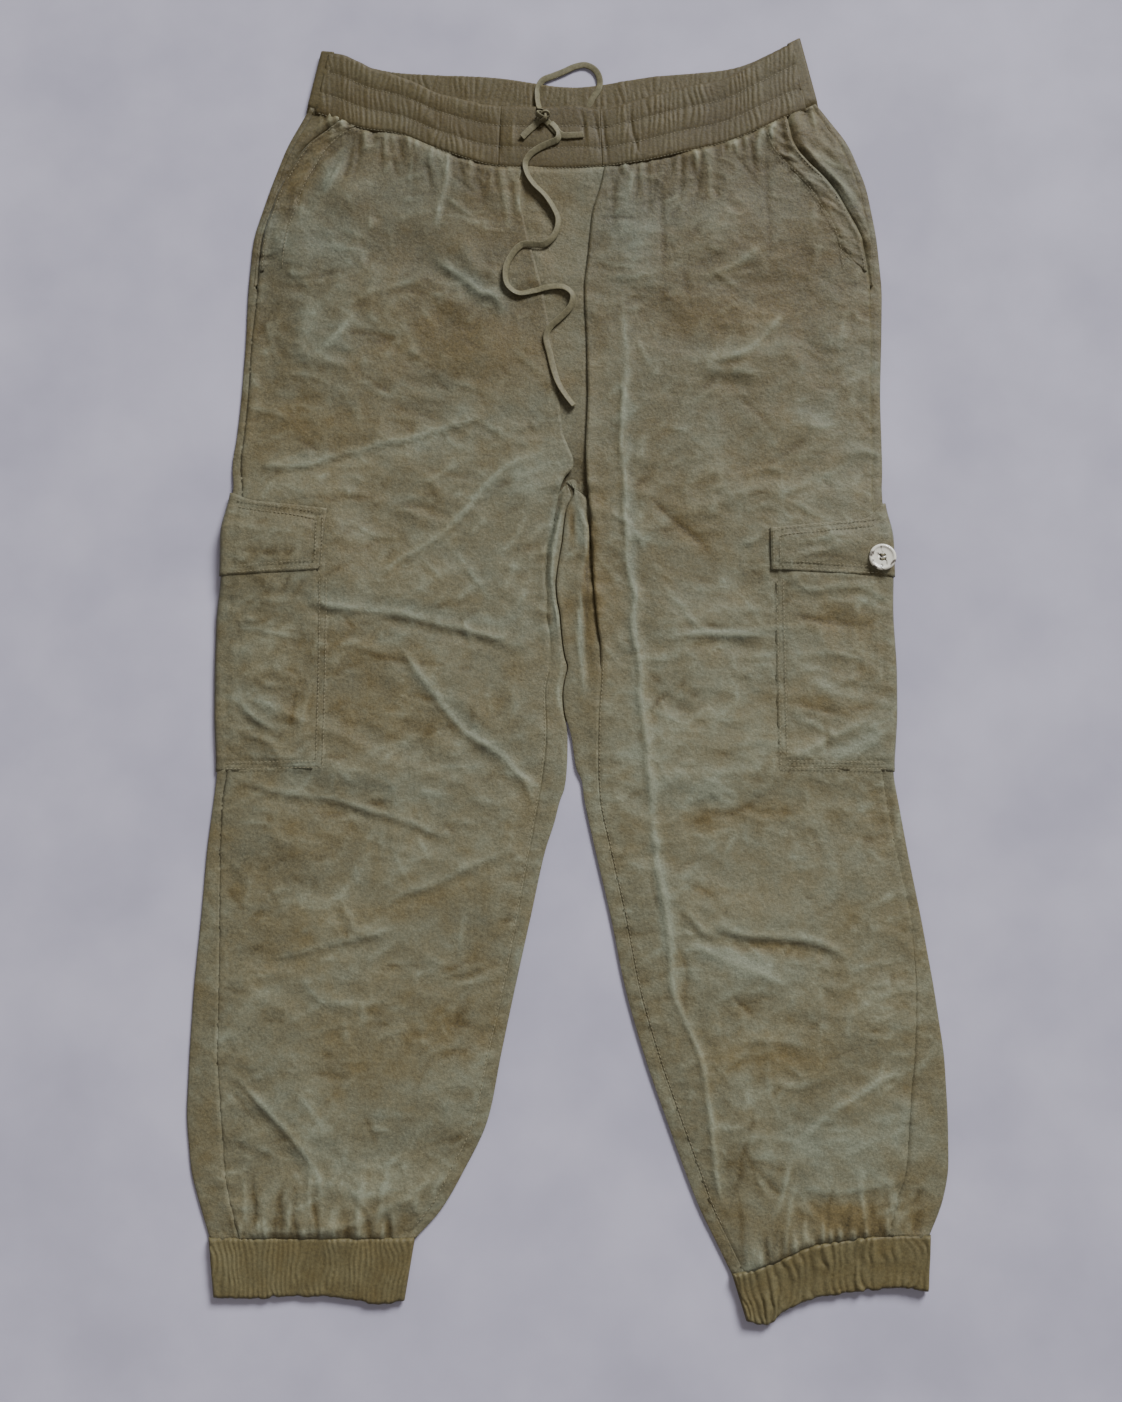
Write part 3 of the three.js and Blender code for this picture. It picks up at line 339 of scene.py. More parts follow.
LEFT_CREASES = [
    (3.6, 4.5, 5, 0.3, [(64, -135), (62, -110), (60, -85), (58, -65), (55, -45), (56, -25), (53, -10),
                        (51, 5), (50, 20), (52, 35), (48, 50), (45, 70), (46, 85), (44, 100), (45, 115),
                        (43, 140), (42, 160), (43, 185), (45, 222)]),
    (3.2, 4.5, 5, 0.3, [(118, -425), (110, -410), (107, -390), (103, -350), (97, -310), (86, -285),
                        (77, -260), (75, -220), (72, -200), (67, -170), (63, -120)]),
    (1.0, 3, 3, 0.4, [(49, 92), (62, 68)]),
    (-1.0, 2.5, 3, 0, [(37, 4), (48, -2), (52, -13)]),
    (-1.4, 3, 4, 0, [(60, -62), (64, -54), (70, -45), (82, -37)]),
    (-1.3, 3, 3, 0, [(69, -212), (60, -172)]),
    (-0.9, 3, 3, 0, [(24, 181), (35, 173), (45, 167)]),
    (1.2, 3, 3, 0.5, [(26, 188), (42, 205), (52, 211)]),
    (1.0, 3, 3, 0.5, [(40, 207), (51, 183)]),
    (-1.5, 2.2, 3, 0, [(74, 286), (77, 310), (76, 340), (73, 390)]),
    (-1.0, 3, 3, 0, [(97, 276), (93, 302)]),
    (-1.2, 3, 5, 0, [(162, 298), (161, 345), (160, 402)]),
    (2.0, 26, 4, 0.5, [(22, 297), (40, 294), (60, 296), (78, 304)]),
    (1.6, 12, 14, 0.2, [(48, 196), (46, 240), (42, 292)]),
    (1.6, 8, 4, 0.6, [(100, 296), (130, 303), (158, 321)]),
    (-0.9, 4, 3, 0, [(93, 302), (112, 309), (130, 314)]),
    (1.9, 12, 3.5, 0.8, [(112, 223), (135, 230), (150, 240), (160, 250), (175, 264)]),
    (1.5, 5, 6, 0.7, [(112, 222), (125, 216), (158, 215)]),
    (1.2, 6, 3.5, 0.6, [(88, 185), (105, 195), (118, 202), (133, 206)]),
    (-1.3, 5, 5, 0, [(128, 202), (145, 185), (168, 160)]),
    (1.0, 5, 3, 0.5, [(73, 170), (98, 168)]),
    (1.4, 6, 3.5, 0.6, [(157, 111), (175, 120), (190, 128), (202, 142)]),
    (1.0, 4, 3, 0.5, [(152, 141), (172, 132)]),
    (1.2, 8, 4, 0.5, [(180, 176), (198, 170), (222, 176)]),
    (2.0, 6, 3, 0.8, [(126, 76), (142, 78), (154, 86)]),
    (-1.8, 10, 10, 0, [(56, 122), (80, 98), (100, 80), (114, 63)]),
    (0.8, 2.5, 2.5, 0.4, [(226, 262), (245, 257)]),
    (0.8, 2.5, 2.5, 0.4, [(228, 276), (246, 272)]),
    (0.8, 2.5, 2.5, 0.4, [(230, 289), (247, 286)]),
    (0.8, 2.5, 2.5, 0.4, [(203, 353), (215, 344)]),
    (0.8, 2.5, 2.5, 0.4, [(208, 341), (223, 332)]),
    (0.8, 2.5, 2.5, 0.4, [(211, 327), (227, 321)]),
    (-1.2, 3, 4, 0, [(109, 362), (103, 380), (99, 399)]),
    (-1.1, 4, 3, 0, [(130, 410), (140, 392), (156, 371)]),
    (-1.0, 2.5, 3, 0, [(62, 376), (66, 398)]),
    (-0.8, 3, 3, 0, [(108, 376), (118, 370), (123, 353)]),
    (1.2, 4, 3, 0.5, [(184, 406), (200, 400), (212, 393), (230, 390)]),
    (1.4, 4, 3, 0.5, [(199, 389), (215, 378), (230, 365), (241, 343)]),
    (2.5, 4.5, 5, 0.8, [(70, 0), (84, 3), (107, 5), (157, 4)]),
    (-0.8, 4, 3, 0, [(88, 11), (120, 11), (152, 11)]),
    (-1.0, 4, 4, 0, [(78, -42), (97, -23)]),
    (0.9, 5, 3, 0.5, [(128, -117), (140, -103), (148, -92), (158, -88)]),
    (0.9, 8, 5, 0.4, [(84, 48), (105, 40), (130, 44)]),
    (0.8, 8, 5, 0.4, [(95, -52), (120, -62), (150, -58)]),
    (1.4, 5, 3, 0.8, [(74, -122), (92, -124), (108, -117), (115, -122), (125, -124), (134, -122)]),
    (-1.1, 6, 6, 0, [(80, -146), (110, -135), (130, -130), (145, -120), (163, -116)]),
    (-0.8, 5, 5, 0, [(73, -179), (95, -187), (110, -195), (120, -207)]),
    (1.8, 8, 3.5, 0.8, [(74, -198), (90, -208), (100, -220), (110, -224)]),
    (2.5, 10, 4, 0.9, [(99, -213), (125, -222), (150, -225), (180, -228), (200, -234), (213, -244)]),
    (2.2, 11, 8, 0.5, [(82, -226), (120, -242), (168, -262)]),
    (-1.4, 3, 3.5, 0, [(89, -298), (86, -275), (88, -250), (85, -240), (79, -222)]),
    (-1.2, 7, 7, 0, [(108, -279), (135, -272), (168, -264)]),
    (1.0, 4, 4, 0.5, [(173, -273), (185, -288), (198, -293)]),
    (0.9, 4, 3, 0.5, [(203, -249), (235, -243), (256, -240)]),
    (0.9, 4, 3, 0.5, [(213, -263), (240, -258), (259, -262)]),
    (0.8, 4, 3, 0.5, [(218, -279), (252, -275)]),
    (1.0, 9, 6, 0.5, [(115, -304), (145, -299), (190, -306)]),
    (1.2, 8, 5, 0.5, [(140, -326), (170, -332), (205, -318)]),
    (-1.5, 3, 5, 0, [(114, -420), (125, -397), (126, -385), (130, -372), (135, -355), (139, -338)]),
    (2.2, 3.5, 7, 0.4, [(146, -440), (148, -425), (152, -418), (157, -402), (160, -392), (166, -380)]),
    (2.0, 5, 9, 0.5, [(158, -380), (175, -366), (190, -352), (220, -334), (248, -318)]),
    (-1.2, 4, 5, 0, [(133, -386), (145, -400), (155, -408), (166, -394)]),
    (1.1, 4, 4, 0.4, [(131, -388), (148, -414)]),
    (0.8, 5, 4, 0.4, [(178, -373), (214, -369)]),
    (2.2, 17, 5, 0.5, [(160, -402), (200, -406), (243, -398)]),
]
# The crotch: the light turned fold, the wrapped fold beside it, the knot-like fold across both.
CROTCH_CREASES = [
    (2.4, 4, 3.5, 0, [(-12, 35), (-12.5, 50), (-12.5, 62), (-10, 78), (-8, 92), (-4, 106), (-1, 113)]),
    (1.6, 2.5, 2, 0, [(-7, 5), (-9, 20), (-12, 35)]),
    (0.8, 3, 3, 0, [(-3, -66), (-8, -40), (-5, -22), (-8, 2)]),
    (3.0, 4, 2, 0.9, [(9, 45), (11, 55), (15, 70), (15.5, 86), (13, 96), (10, 104), (5, 114)]),
    (2.4, 4.5, 2, 0.8, [(14, -52), (12, -36), (10.5, -18), (9.5, 0), (9.5, 22), (9, 46)]),
    (1.6, 3, 3.5, 0.4, [(-4, 62), (2, 68), (8, 72), (13, 72)]),
    (-1.6, 3, 3, 0, [(3, 78), (3.5, 92), (4, 104)]),
    (-2.2, 2.5, 3, 0, [(15, -5), (14, 15), (14, 32), (15, 52), (17.5, 72), (17.5, 90), (14, 106)]),
    (-2.4, 3.5, 3.5, 0, [(1, 118), (-1, 124), (-1, 131)]),
]
POCKET_CREASES = [
    (1.5, 7, 5, 0.6, [(163, 43), (190, 40), (225, 42), (246, 32)]),
    (-1.2, 9, 9, 0, [(160, 17), (195, 16), (238, 10)]),
    (1.2, 9, 6, 0.4, [(168, -14), (200, -10), (240, -18)]),
    (-1.3, 7, 7, 0, [(160, -48), (190, -53), (226, -62)]),
    (1.9, 8, 5, 0.7, [(163, -95), (182, -84), (200, -75), (238, -57)]),
    (-1.4, 2, 3, 0, [(199, -99), (197, -75), (193, -58)]),
    (1.3, 6, 4, 0.5, [(-262, 12), (-240, 8), (-212, 3), (-190, 2)]),
    (2.0, 9, 4, 0.8, [(-266, -36), (-250, -48), (-240, -58), (-225, -68), (-208, -73)]),
    (-1.3, 2.5, 3, 0, [(-213, -75), (-209, -50), (-208, -30)]),
    (1.0, 6, 4, 0.4, [(-262, -84), (-235, -88), (-200, -90)]),
    (0.9, 5, 4, 0.4, [(-258, 36), (-230, 31), (-196, 33)]),
]
FLAP_CREASES = [
    (0.7, 8, 6, 0.3, [(168, 74), (195, 80), (228, 84)]),
    (-0.6, 6, 6, 0, [(166, 64), (200, 66), (232, 62)]),
    (0.7, 8, 6, 0.3, [(-262, 92), (-236, 86), (-200, 84)]),
    (-0.6, 6, 6, 0, [(-260, 70), (-230, 68), (-198, 70)]),
    (0.6, 3, 3, 0.3, [(-214, 60), (-208, 72)]),
]
# Broad rises: x, y, half length along and across, turn in degrees, height.
RISES = [
    (-118, 362, 34, 26, 0, 2.2), (-178, 366, 16, 18, 25, 1.8), (-212, 308, 24, 18, 20, 2.2),
    (-150, 284, 30, 18, 8, 1.8), (-196, 236, 26, 22, 25, 1.6), (-36, 122, 26, 20, 35, 2.0),
    (-90, 318, 30, 16, -30, 1.4), (-60, 230, 40, 24, 0, 1.2), (-170, 130, 50, 14, 8, 1.6),
    (-100, 45, 45, 16, 25, 1.4), (-80, -35, 40, 18, -40, 1.8), (-160, -100, 60, 14, -8, 1.4),
    (-110, -170, 50, 14, 20, 1.4), (-180, -212, 50, 14, 10, 1.2), (-200, -338, 40, 20, -45, 2.2),
    (-110, -350, 40, 30, 10, 2.4), (-165, -408, 50, 18, 0, 2.4), (-110, -400, 22, 20, 40, 1.6),
    (48, 322, 26, 34, 0, 2.4), (118, 340, 34, 26, 0, 1.8), (132, 222, 34, 14, 10, 2.0),
    (196, 170, 24, 14, 0, 1.8), (150, 178, 18, 14, 0, 1.4), (110, 130, 30, 20, 0, 1.4),
    (112, 20, 50, 16, 2, 1.6), (120, -80, 44, 20, 0, 1.4), (110, -108, 40, 12, 0, 1.6),
    (130, -205, 60, 14, -8, 2.0), (125, -250, 50, 16, -20, 2.0), (215, -300, 40, 26, 10, 1.8),
    (200, -384, 46, 22, 5, 2.8), (130, -365, 16, 30, 20, 1.6), (215, -345, 30, 14, 30, 1.4),
    (215, 360, 24, 10, -50, 1.4),
]
# The brushed nap's pale and brown patches, with painted sheen along folds and painted shade in the crotch
# hollows: x, y, half length, half width, turn, amount.
NAP_SHEEN_AND_SHADE = [
    (-205, 322, 44, 30, 10, 0.8), (-118, 376, 42, 28, 0, 0.6), (-188, 250, 36, 24, 25, 0.6),
    (-76, 288, 36, 10, -38, 0.9), (45, 340, 26, 42, 0, 0.8), (45, 240, 13, 60, 0, 0.3),
    (50, 60, 130, 4, 91, 0.6), (-35, 134, 28, 18, 35, 0.5), (95, 345, 20, 12, 0, 0.5),
    (218, 376, 26, 12, -50, 0.6), (192, 184, 18, 10, 0, 0.5), (-78, -62, 46, 6, -43, 0.8),
    (-105, 22, 80, 6, -8, 0.6), (-150, -112, 70, 8, -12, 0.4), (70, -190, 70, 5, 96, 0.6),
    (122, -240, 48, 12, -20, 0.7), (200, -372, 46, 26, 0, 0.5), (-205, -350, 48, 14, -45, 0.4),
    (-110, -372, 40, 30, 0, 0.3), (-236, -46, 20, 14, -30, 0.5), (215, -82, 28, 9, 25, 0.6),
    (118, 6, 44, 4, 0, 0.7), (135, 236, 26, 8, 5, 0.4), (105, -115, 36, 8, 0, 0.4),
    (-150, 152, 80, 7, 9, 0.4),
    (-80, 238, 62, 26, 0, -0.6), (22, 40, 12, 80, 0, -0.7), (110, 262, 60, 18, 0, -0.6),
    (-150, -8, 60, 9, -5, -0.5), (90, 92, 36, 12, -45, -0.6), (130, -134, 52, 9, 8, -0.5),
    (140, -314, 48, 12, 0, -0.6), (-140, -206, 70, 12, 14, -0.5), (200, -424, 42, 11, 0, -0.8),
    (-165, -428, 52, 8, 0, -0.4), (150, 140, 40, 20, 0, -0.4), (-200, 170, 50, 18, 5, -0.5),
    (-150, -60, 50, 20, 0, -0.4), (200, 15, 44, 10, 0, -0.5), (195, -50, 40, 8, -8, -0.5),
    (170, 300, 50, 16, 20, -0.3), (-120, -300, 70, 20, 10, -0.3), (150, -232, 52, 6, -5, -0.6),
    (-20, 340, 22, 60, 0, -0.3),
    (-212, 386, 46, 9, 60, -0.45), (-190, 384, 34, 6, 60, 0.8), (-238, 345, 14, 6, 60, 0.8),
    (224, 364, 30, 6, -58, 1.0), (-11, 88, 30, 3.5, 84, 0.9), (-11, 30, 26, 3, 96, 0.7),
    (10, 88, 22, 3.5, 98, 0.9), (10, 15, 32, 2.5, 91, 0.8),
    (3, 92, 16, 3, 90, -0.9), (17, 28, 40, 3.5, 91, -0.9), (0, 10, 30, 5, 92, -0.5),
]

CREST = 0.25            # how round a crease's crest is: 0 is a knife edge
FOLD_EASE = 0.72        # share of the drawn height that the pressed cloth keeps
FOLD_WIDTH = 0.72       # and of the drawn width
CREST_WIDTH = 1.9       # half width of the painted highlight line along a crest


def path_profile(x, y, crease, seed):
    """Height that one crease adds at each point: highest on its path, tapering to both ends."""
    height, left, right, trough, points = crease
    height, left, right = FOLD_EASE * height, max(2.0, FOLD_WIDTH * left), max(1.9, FOLD_WIDTH * right)
    path = smooth_path(points)
    path = path + 0.7 * noise(seed, np.arange(len(path))[:, None] / 3.0, [[0.3, 7.3]])
    margin = 3 * max(left, right) + 6
    low, high = path.min(0) - margin, path.max(0) + margin
    near = np.flatnonzero((x > low[0]) & (x < high[0]) & (y > low[1]) & (y < high[1]))
    if not near.size:
        return near, np.zeros(0), np.zeros(0)
    start, run = path[:-1], np.diff(path, axis=0)
    length = np.hypot(run[:, 0], run[:, 1])
    rel = np.stack([x[near], y[near]], 1)[:, None, :] - start[None]
    t = np.clip((rel * run).sum(2) / length ** 2, 0, 1)
    off = rel - t[:, :, None] * run
    gap = np.hypot(off[:, :, 0], off[:, :, 1])
    best = gap.argmin(1)
    row = np.arange(len(near))
    distance = gap[row, best]
    on_left = run[best, 0] * rel[row, best, 1] - run[best, 1] * rel[row, best, 0] > 0
    total = length.sum()
    along = np.concatenate([[0], np.cumsum(length)])[best] + t[row, best] * length[best]
    end = min(26.0, 0.42 * total)
    taper = smooth(along / end) * smooth((total - along) / end)
    uneven = 0.85 + 0.35 * noise(seed + 1, along / 17, 0.5)
    across = distance / np.where(on_left, left, right)
    shape = np.exp(CREST - np.sqrt((1.9 * across) ** 2 + CREST ** 2))
    dip = 0.65 * trough * np.exp(-(((distance - 2.2 * right) / (1.4 * right)) ** 2)) * ~on_left
    size = taper * uneven
    strength = np.sign(height) * min(1.4, 0.6 + 0.45 * abs(height))
    # painted highlight: a pale line along the crest of each crease
    line = strength * size * bell(distance, CREST_WIDTH)
    return near, height * size * (shape - dip), line


def pressed(x, y, table, seed, lines=None):
    """Height of all of a table's creases; lines collects the painted highlight along each crest."""
    total = np.zeros(x.shape)
    for k, crease in enumerate(table):
        near, value, line = path_profile(x, y, crease, seed + 2 * k)
        total[near] += value
        if lines is not None:
            lines[near] += line
    return total


def rises(x, y, table):
    """Sum of soft oval rises."""
    total = np.zeros(x.shape)
    for cx, cy, along, across, turn, height in table:
        c, s = math.cos(math.radians(turn)), math.sin(math.radians(turn))
        u = ((x - cx) * c + (y - cy) * s) / along
        v = ((y - cy) * c - (x - cx) * s) / across
        total += height * np.exp(-(u * u + v * v))
    return total


def scattered_creases(seed, side):
    """Small short creases all over a leg, seeded, mostly along the leg's own pull."""
    rng = np.random.default_rng(seed)
    made = []
    for _ in range(430):
        x = side * rng.uniform(30, 262)
        y = rng.uniform(-425, 400)
        to_crotch = math.atan2(130 - y, -x) if 0 < y < 260 else 0.0
        turn = rng.choice([to_crotch, to_crotch + 0.35, rng.uniform(0, math.pi)]) + rng.normal(0, 0.3)
        size = rng.choice([rng.uniform(4, 12), rng.uniform(9, 26)])
        dx, dy = size * math.cos(turn), size * math.sin(turn)
        sag = rng.uniform(-0.16, 0.16)
        middle = (x - sag * dy, y + sag * dx)
        ends = sorted([(x - dx, y - dy), (x + dx, y + dy)])
        height = rng.uniform(0.3, 1.0) * rng.choice([1, 1, -1])
        made.append((height, rng.uniform(2.8, 6), rng.uniform(2.4, 4), 0.6, [ends[0], middle, ends[1]]))
    return made


def seam_gathers(leg, seed, seam, lowest, highest, count, away):
    """Pleats of uneven length running from a seam into the leg."""
    rng = np.random.default_rng(seed)
    made = []
    for k in range(count):
        reach = lerp(lowest, highest, (k + rng.uniform(0.1, 0.9)) / count)
        x = leg.side * reach
        y = float(seam(x))
        length = rng.choice([rng.uniform(9, 18), rng.uniform(14, 34), rng.uniform(24, 60)])
        drift = rng.uniform(-0.2, 0.2) * length
        start = (x, y - 5 * away)
        middle = (x + 0.4 * drift + rng.normal(0, 1), y + away * 0.5 * length)
        end = (x + drift, y + away * length)
        points = [start, middle, end]
        if away < 0:
            points.reverse()
        height = rng.uniform(1.0, 2.4) * rng.choice([1, -0.8])
        made.append((height, rng.uniform(2.6, 5), rng.uniform(2.4, 4.4), 0.4, points))
    return made


CREASES = {"left": LEFT_CREASES, "right": RIGHT_CREASES}
for leg_index, leg in enumerate(LEGS):
    leg.creases = CREASES[leg.name] + scattered_creases(40 + leg_index, leg.side)
    leg.creases += seam_gathers(leg, 60 + leg_index, leg.waist, 34, 200, 46, -1)
    leg.creases += seam_gathers(leg, 70 + leg_index, leg.cuff, 124, 256, 40, 1)


# Sizes of facets: seed, size, length over width, turn, height.
FACETS = [
    (203, 44, 1.6, 0.35, 0.9), (204, 30, 1.5, -0.4, 0.75), (205, 19, 1.8, 0.2, 0.55),
    (206, 12, 1.9, -0.15, 0.36), (207, 7.5, 1.9, 0.5, 0.2),
]


def crumple(x, y, lines):
    """Facets between sharp soft lines, as washed cotton dries, in five sizes."""
    bend_x = x + 9 * noise(201, x / 30, y / 30)
    bend_y = y + 9 * noise(202, x / 30, y / 30)
    total = np.zeros(np.shape(x))
    for seed, size, stretch, turn, height in FACETS:
        u = (bend_x * math.cos(turn) + bend_y * math.sin(turn)) / (size * stretch)
        v = (bend_y * math.cos(turn) - bend_x * math.sin(turn)) / size
        sharp = np.sqrt(noise(seed, u, v) ** 2 + 0.001)
        share = np.clip(0.6 + 0.9 * noise(seed + 20, u / 3, v / 3), 0, 1.4)
        total += height * (0.5 - 1.6 * sharp) * share
        # painted highlight along the facets' sharp crest lines
        lines += 0.4 * share * np.exp(-((sharp * size / 1.5) ** 2))
    return total


def fold_round(w):
    """Share of the full height at distance w in from a folded edge."""
    return np.sqrt(np.clip(1 - (1 - np.clip(w / FOLD_RADIUS, 0, 1)) ** 2, 0, 1))


def lift(leg, y, w):
    """Height of the leg's underside over the ground, where pockets are wrapped under it."""
    pocket = smooth((y + 124) / 24) * smooth((102 - y) / 20)
    flap = smooth((y - 32) / 20) * smooth((130 - y) / 20)
    button = smooth((y + 5) / 60) * smooth((150 - y) / 60)
    room = (pocket + flap) * LAYER + button * leg.button_room
    return room * (1 - smooth((w - 82) / 43))


def leg_top(leg, x, y, grow=0.0, extra=None):
    """Height of the upper skin over one leg; grow moves it out by whole layers."""
    shape = np.shape(x)
    x, y = np.ravel(x).astype(float), np.ravel(y).astype(float)
    reach = leg.side * x
    w = leg.outer(y) - reach
    v = reach - leg.inner(y) + 3 * np.maximum(0, y - CROTCH_Y)
    low = lift(leg, y, w)
    to_waist = leg.waist(x) - y
    to_cuff = y - leg.cuff(x)
    puff = 2.2 + 1.6 * smooth(1 - to_waist / 50) + 2.4 * smooth(1 - to_cuff / 60)
    puff *= smooth(w / 42) * smooth(v / 30)
    lines = np.zeros(x.shape)
    wave = 0.9 * noise(3, x / 58, y / 46) + crumple(x, y, lines)
    inside = smooth(w / 22) * smooth(v / 16)
    folds = pressed(x, y, leg.creases, 100, lines) * smooth(w / 9) * smooth((v + 1) / 9)
    folds += (wave + rises(x, y, RISES)) * inside
    folds += pressed(x, y, CROTCH_CREASES, 900, lines) * smooth(v / 2.5)
    if extra is not None:
        folds += pressed(x, y, extra, 500, lines) * smooth(w / 8)
    seam = reach - leg.side_seam(y)
    inseam = np.where(y < 140, reach - leg.front_inner(y), 99)
    for distance in (seam, -inseam):
        pucker = 0.45 * noise(11, y / 4.5, 0) * bell(distance, 7)
        folds += pucker - 0.2 * bell(distance, 1.2) + 0.25 * bell(distance + 4, 3)
    # Painted light: paler patches on the lower legs and painted shade towards the waist, added to the painted
    # highlight on crests and to the folds' height, so high folds are paler and hollows darker.
    painted_light = 0.5 * np.exp(-(((x - 120) / 150) ** 2) - ((y + 110) / 160) ** 2)
    painted_light += 0.3 * np.exp(-(((x + 120) / 110) ** 2) - ((y + 200) / 70) ** 2)
    painted_light -= 0.72 * smooth((y - 130) / 200)
    leg.wear = np.reshape(lines + 0.14 * folds + painted_light, shape)
    ends = smooth((np.minimum(to_waist, to_cuff) - 0.6) / 4)
    rise = np.maximum(LEG_HEIGHT + puff + folds, np.where(np.abs(x) < 24, 0.7, 1.8))
    rise = lerp(SEAM_HEIGHT + 0.6 * folds, rise, ends) + LAYER_SHOWN * grow
    middle = low + LEG_HEIGHT / 2
    sewn = 1 + 1.6 * smooth(1 - to_waist / 30)
    rim = fold_round((w + grow) * sewn) * fold_round((v + 0.5) * (1 + 0.8 * smooth(y / 30)))
    return (middle + (low + rise - middle) * rim).reshape(shape)


# ---------------------------------------------------------------- meshes
def new_object(name, mesh, material, slot_name, *stands_for):
    obj = bpy.data.objects.new(name, mesh)
    bpy.context.scene.collection.objects.link(obj)
    mesh.materials.append(material)
    mesh.polygons.foreach_set("use_smooth", np.ones(len(mesh.polygons), bool))
    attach(obj, "root")
    if stands_for:
        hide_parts(*stands_for)
    return obj


def grid_faces(rows, columns, closed, start=0):
    i = np.arange(rows - 1)[:, None]
    j = np.arange(columns if closed else columns - 1)[None, :]
    k = (j + 1) % columns
    quads = [i * columns + j, (i + 1) * columns + j, (i + 1) * columns + k, i * columns + k]
    return np.stack(quads, -1).reshape(-1, 4) + start


def loop_of(rows, columns, closed):
    """The border of a grid as one or two loops of vertex numbers."""
    top = list(range(columns))
    bottom = [(rows - 1) * columns + j for j in range(columns)]
    if closed:
        return [top + top[:1], (bottom + bottom[:1])[::-1]]
    right = [i * columns + columns - 1 for i in range(rows)]
    left = [i * columns for i in range(rows)]
    return [top + right[1:] + bottom[::-1][1:] + left[::-1][1:]]


def tone_of(x, y):
    # the table's nap tone with painted sheen and painted shade, over random clouds of tone
    cloud = 0.2 * noise(21, x / 34, y / 30) + 0.12 * noise(22, x / 13, y / 12)
    return np.clip(rises(x, y, NAP_SHEEN_AND_SHADE) + cloud, -1, 1)


def set_wear(mesh, nap_sheen_and_shade, painted_light):
    """Two numbers at each vertex: the nap's tone with painted sheen and shade, and the painted highlight and
    shade.
    """
    for name, values in (("nap_sheen_and_shade", nap_sheen_and_shade), ("painted_light", painted_light)):
        layer = mesh.attributes.new(name, "FLOAT", "POINT")
        spread = np.zeros(len(mesh.vertices)) + values
        layer.data.foreach_set("value", spread.astype(np.float32))


def shell_mesh(name, points, out, thickness=CLOTH, closed=False, wear=0.0):
    """A thin closed shell from one skin of points in millimetres. out turns the skin to face out;
    the last argument is the painted light at each point: painted highlight where high, painted shade where
    low."""
    rows, columns = points.shape[:2]
    down = np.gradient(points, axis=0)
    if closed:
        across = (np.roll(points, -1, 1) - np.roll(points, 1, 1)) / 2
    else:
        across = np.gradient(points, axis=1)
    normal = out * np.cross(down, across)
    normal /= np.maximum(np.linalg.norm(normal, axis=2, keepdims=True), 1e-9)
    inner = points - thickness * normal
    inner[..., 2] = np.maximum(inner[..., 2], 0.02)
    vertices = np.concatenate([points.reshape(-1, 3), inner.reshape(-1, 3)])
    skin = grid_faces(rows, columns, closed)
    count = rows * columns
    rim = []
    for border in loop_of(rows, columns, closed):
        a, b = np.array(border[:-1]), np.array(border[1:])
        rim.append(np.stack([b, a, a + count, b + count], -1))
    rim = np.concatenate(rim)
    faces = np.concatenate([skin, skin[:, ::-1] + count, rim[:, ::-1]])
    if out < 0:
        faces = faces[:, ::-1]
    mesh = bpy.data.meshes.new(name)
    mesh.from_pydata(vertices * MM, [], faces.tolist())
    mesh.update()
    painted_light = np.tile((wear + np.zeros((rows, columns))).ravel(), 2)
    set_wear(mesh, tone_of(vertices[:, 0], vertices[:, 1]), painted_light)
    return mesh


def painted_highlight_shade(leg):
    """Painted light at each point of the skin worked out last: painted highlight on crests, painted shade in
    hollows.
    """
    return np.clip(leg.wear, -1.1, 1.4)


def grid3(x, y, z):
    return np.stack([x, y, z], -1)


# ---------------------------------------------------------------- materials
def new_material(name):
    """A material with its tree, its shader and the object's own coordinates."""
    material = bpy.data.materials.new(name)
    material.use_nodes = True
    tree = material.node_tree
    place = tree.nodes.new("ShaderNodeTexCoord").outputs["Object"]
    return material, tree, tree.nodes["Principled BSDF"], place


def add_node(tree, kind, settings, vector=None):
    """A shader node with some of its inputs set, and its vector linked."""
    node = tree.nodes.new("ShaderNode" + kind)
    for name, value in settings.items():
        node.inputs[name].default_value = value
    if vector is not None:
        tree.links.new(vector, node.inputs["Vector"])
    return node


def attribute(tree, name):
    node = tree.nodes.new("ShaderNodeAttribute")
    node.attribute_name = name
    return node.outputs["Fac"]


def times_plus(tree, value, factor, term):
    """value times factor plus term, where term is a number or another node's output."""
    node = add_node(tree, "Math", {1: factor})
    node.operation = "MULTIPLY_ADD"
    tree.links.new(value, node.inputs[0])
    if isinstance(term, float):
        node.inputs[2].default_value = term
    else:
        tree.links.new(term, node.inputs[2])
    return node.outputs[0]


def ramp_between(tree, value, low, high, start=0.0, end=1.0):
    """From one colour to another, as the value goes from start to end."""
    ramp = tree.nodes.new("ShaderNodeValToRGB")
    for element, position, colour in zip(ramp.color_ramp.elements, (start, end), (low, high)):
        element.position = position
        element.color = (*colour, 1)
    tree.links.new(value, ramp.inputs["Fac"])
    return ramp.outputs["Color"]


def bump(tree, height, strength, distance, below=None):
    node = add_node(tree, "Bump", {"Strength": strength, "Distance": distance})
    tree.links.new(height, node.inputs["Height"])
    if below is not None:
        tree.links.new(below, node.inputs["Normal"])
    return node.outputs["Normal"]


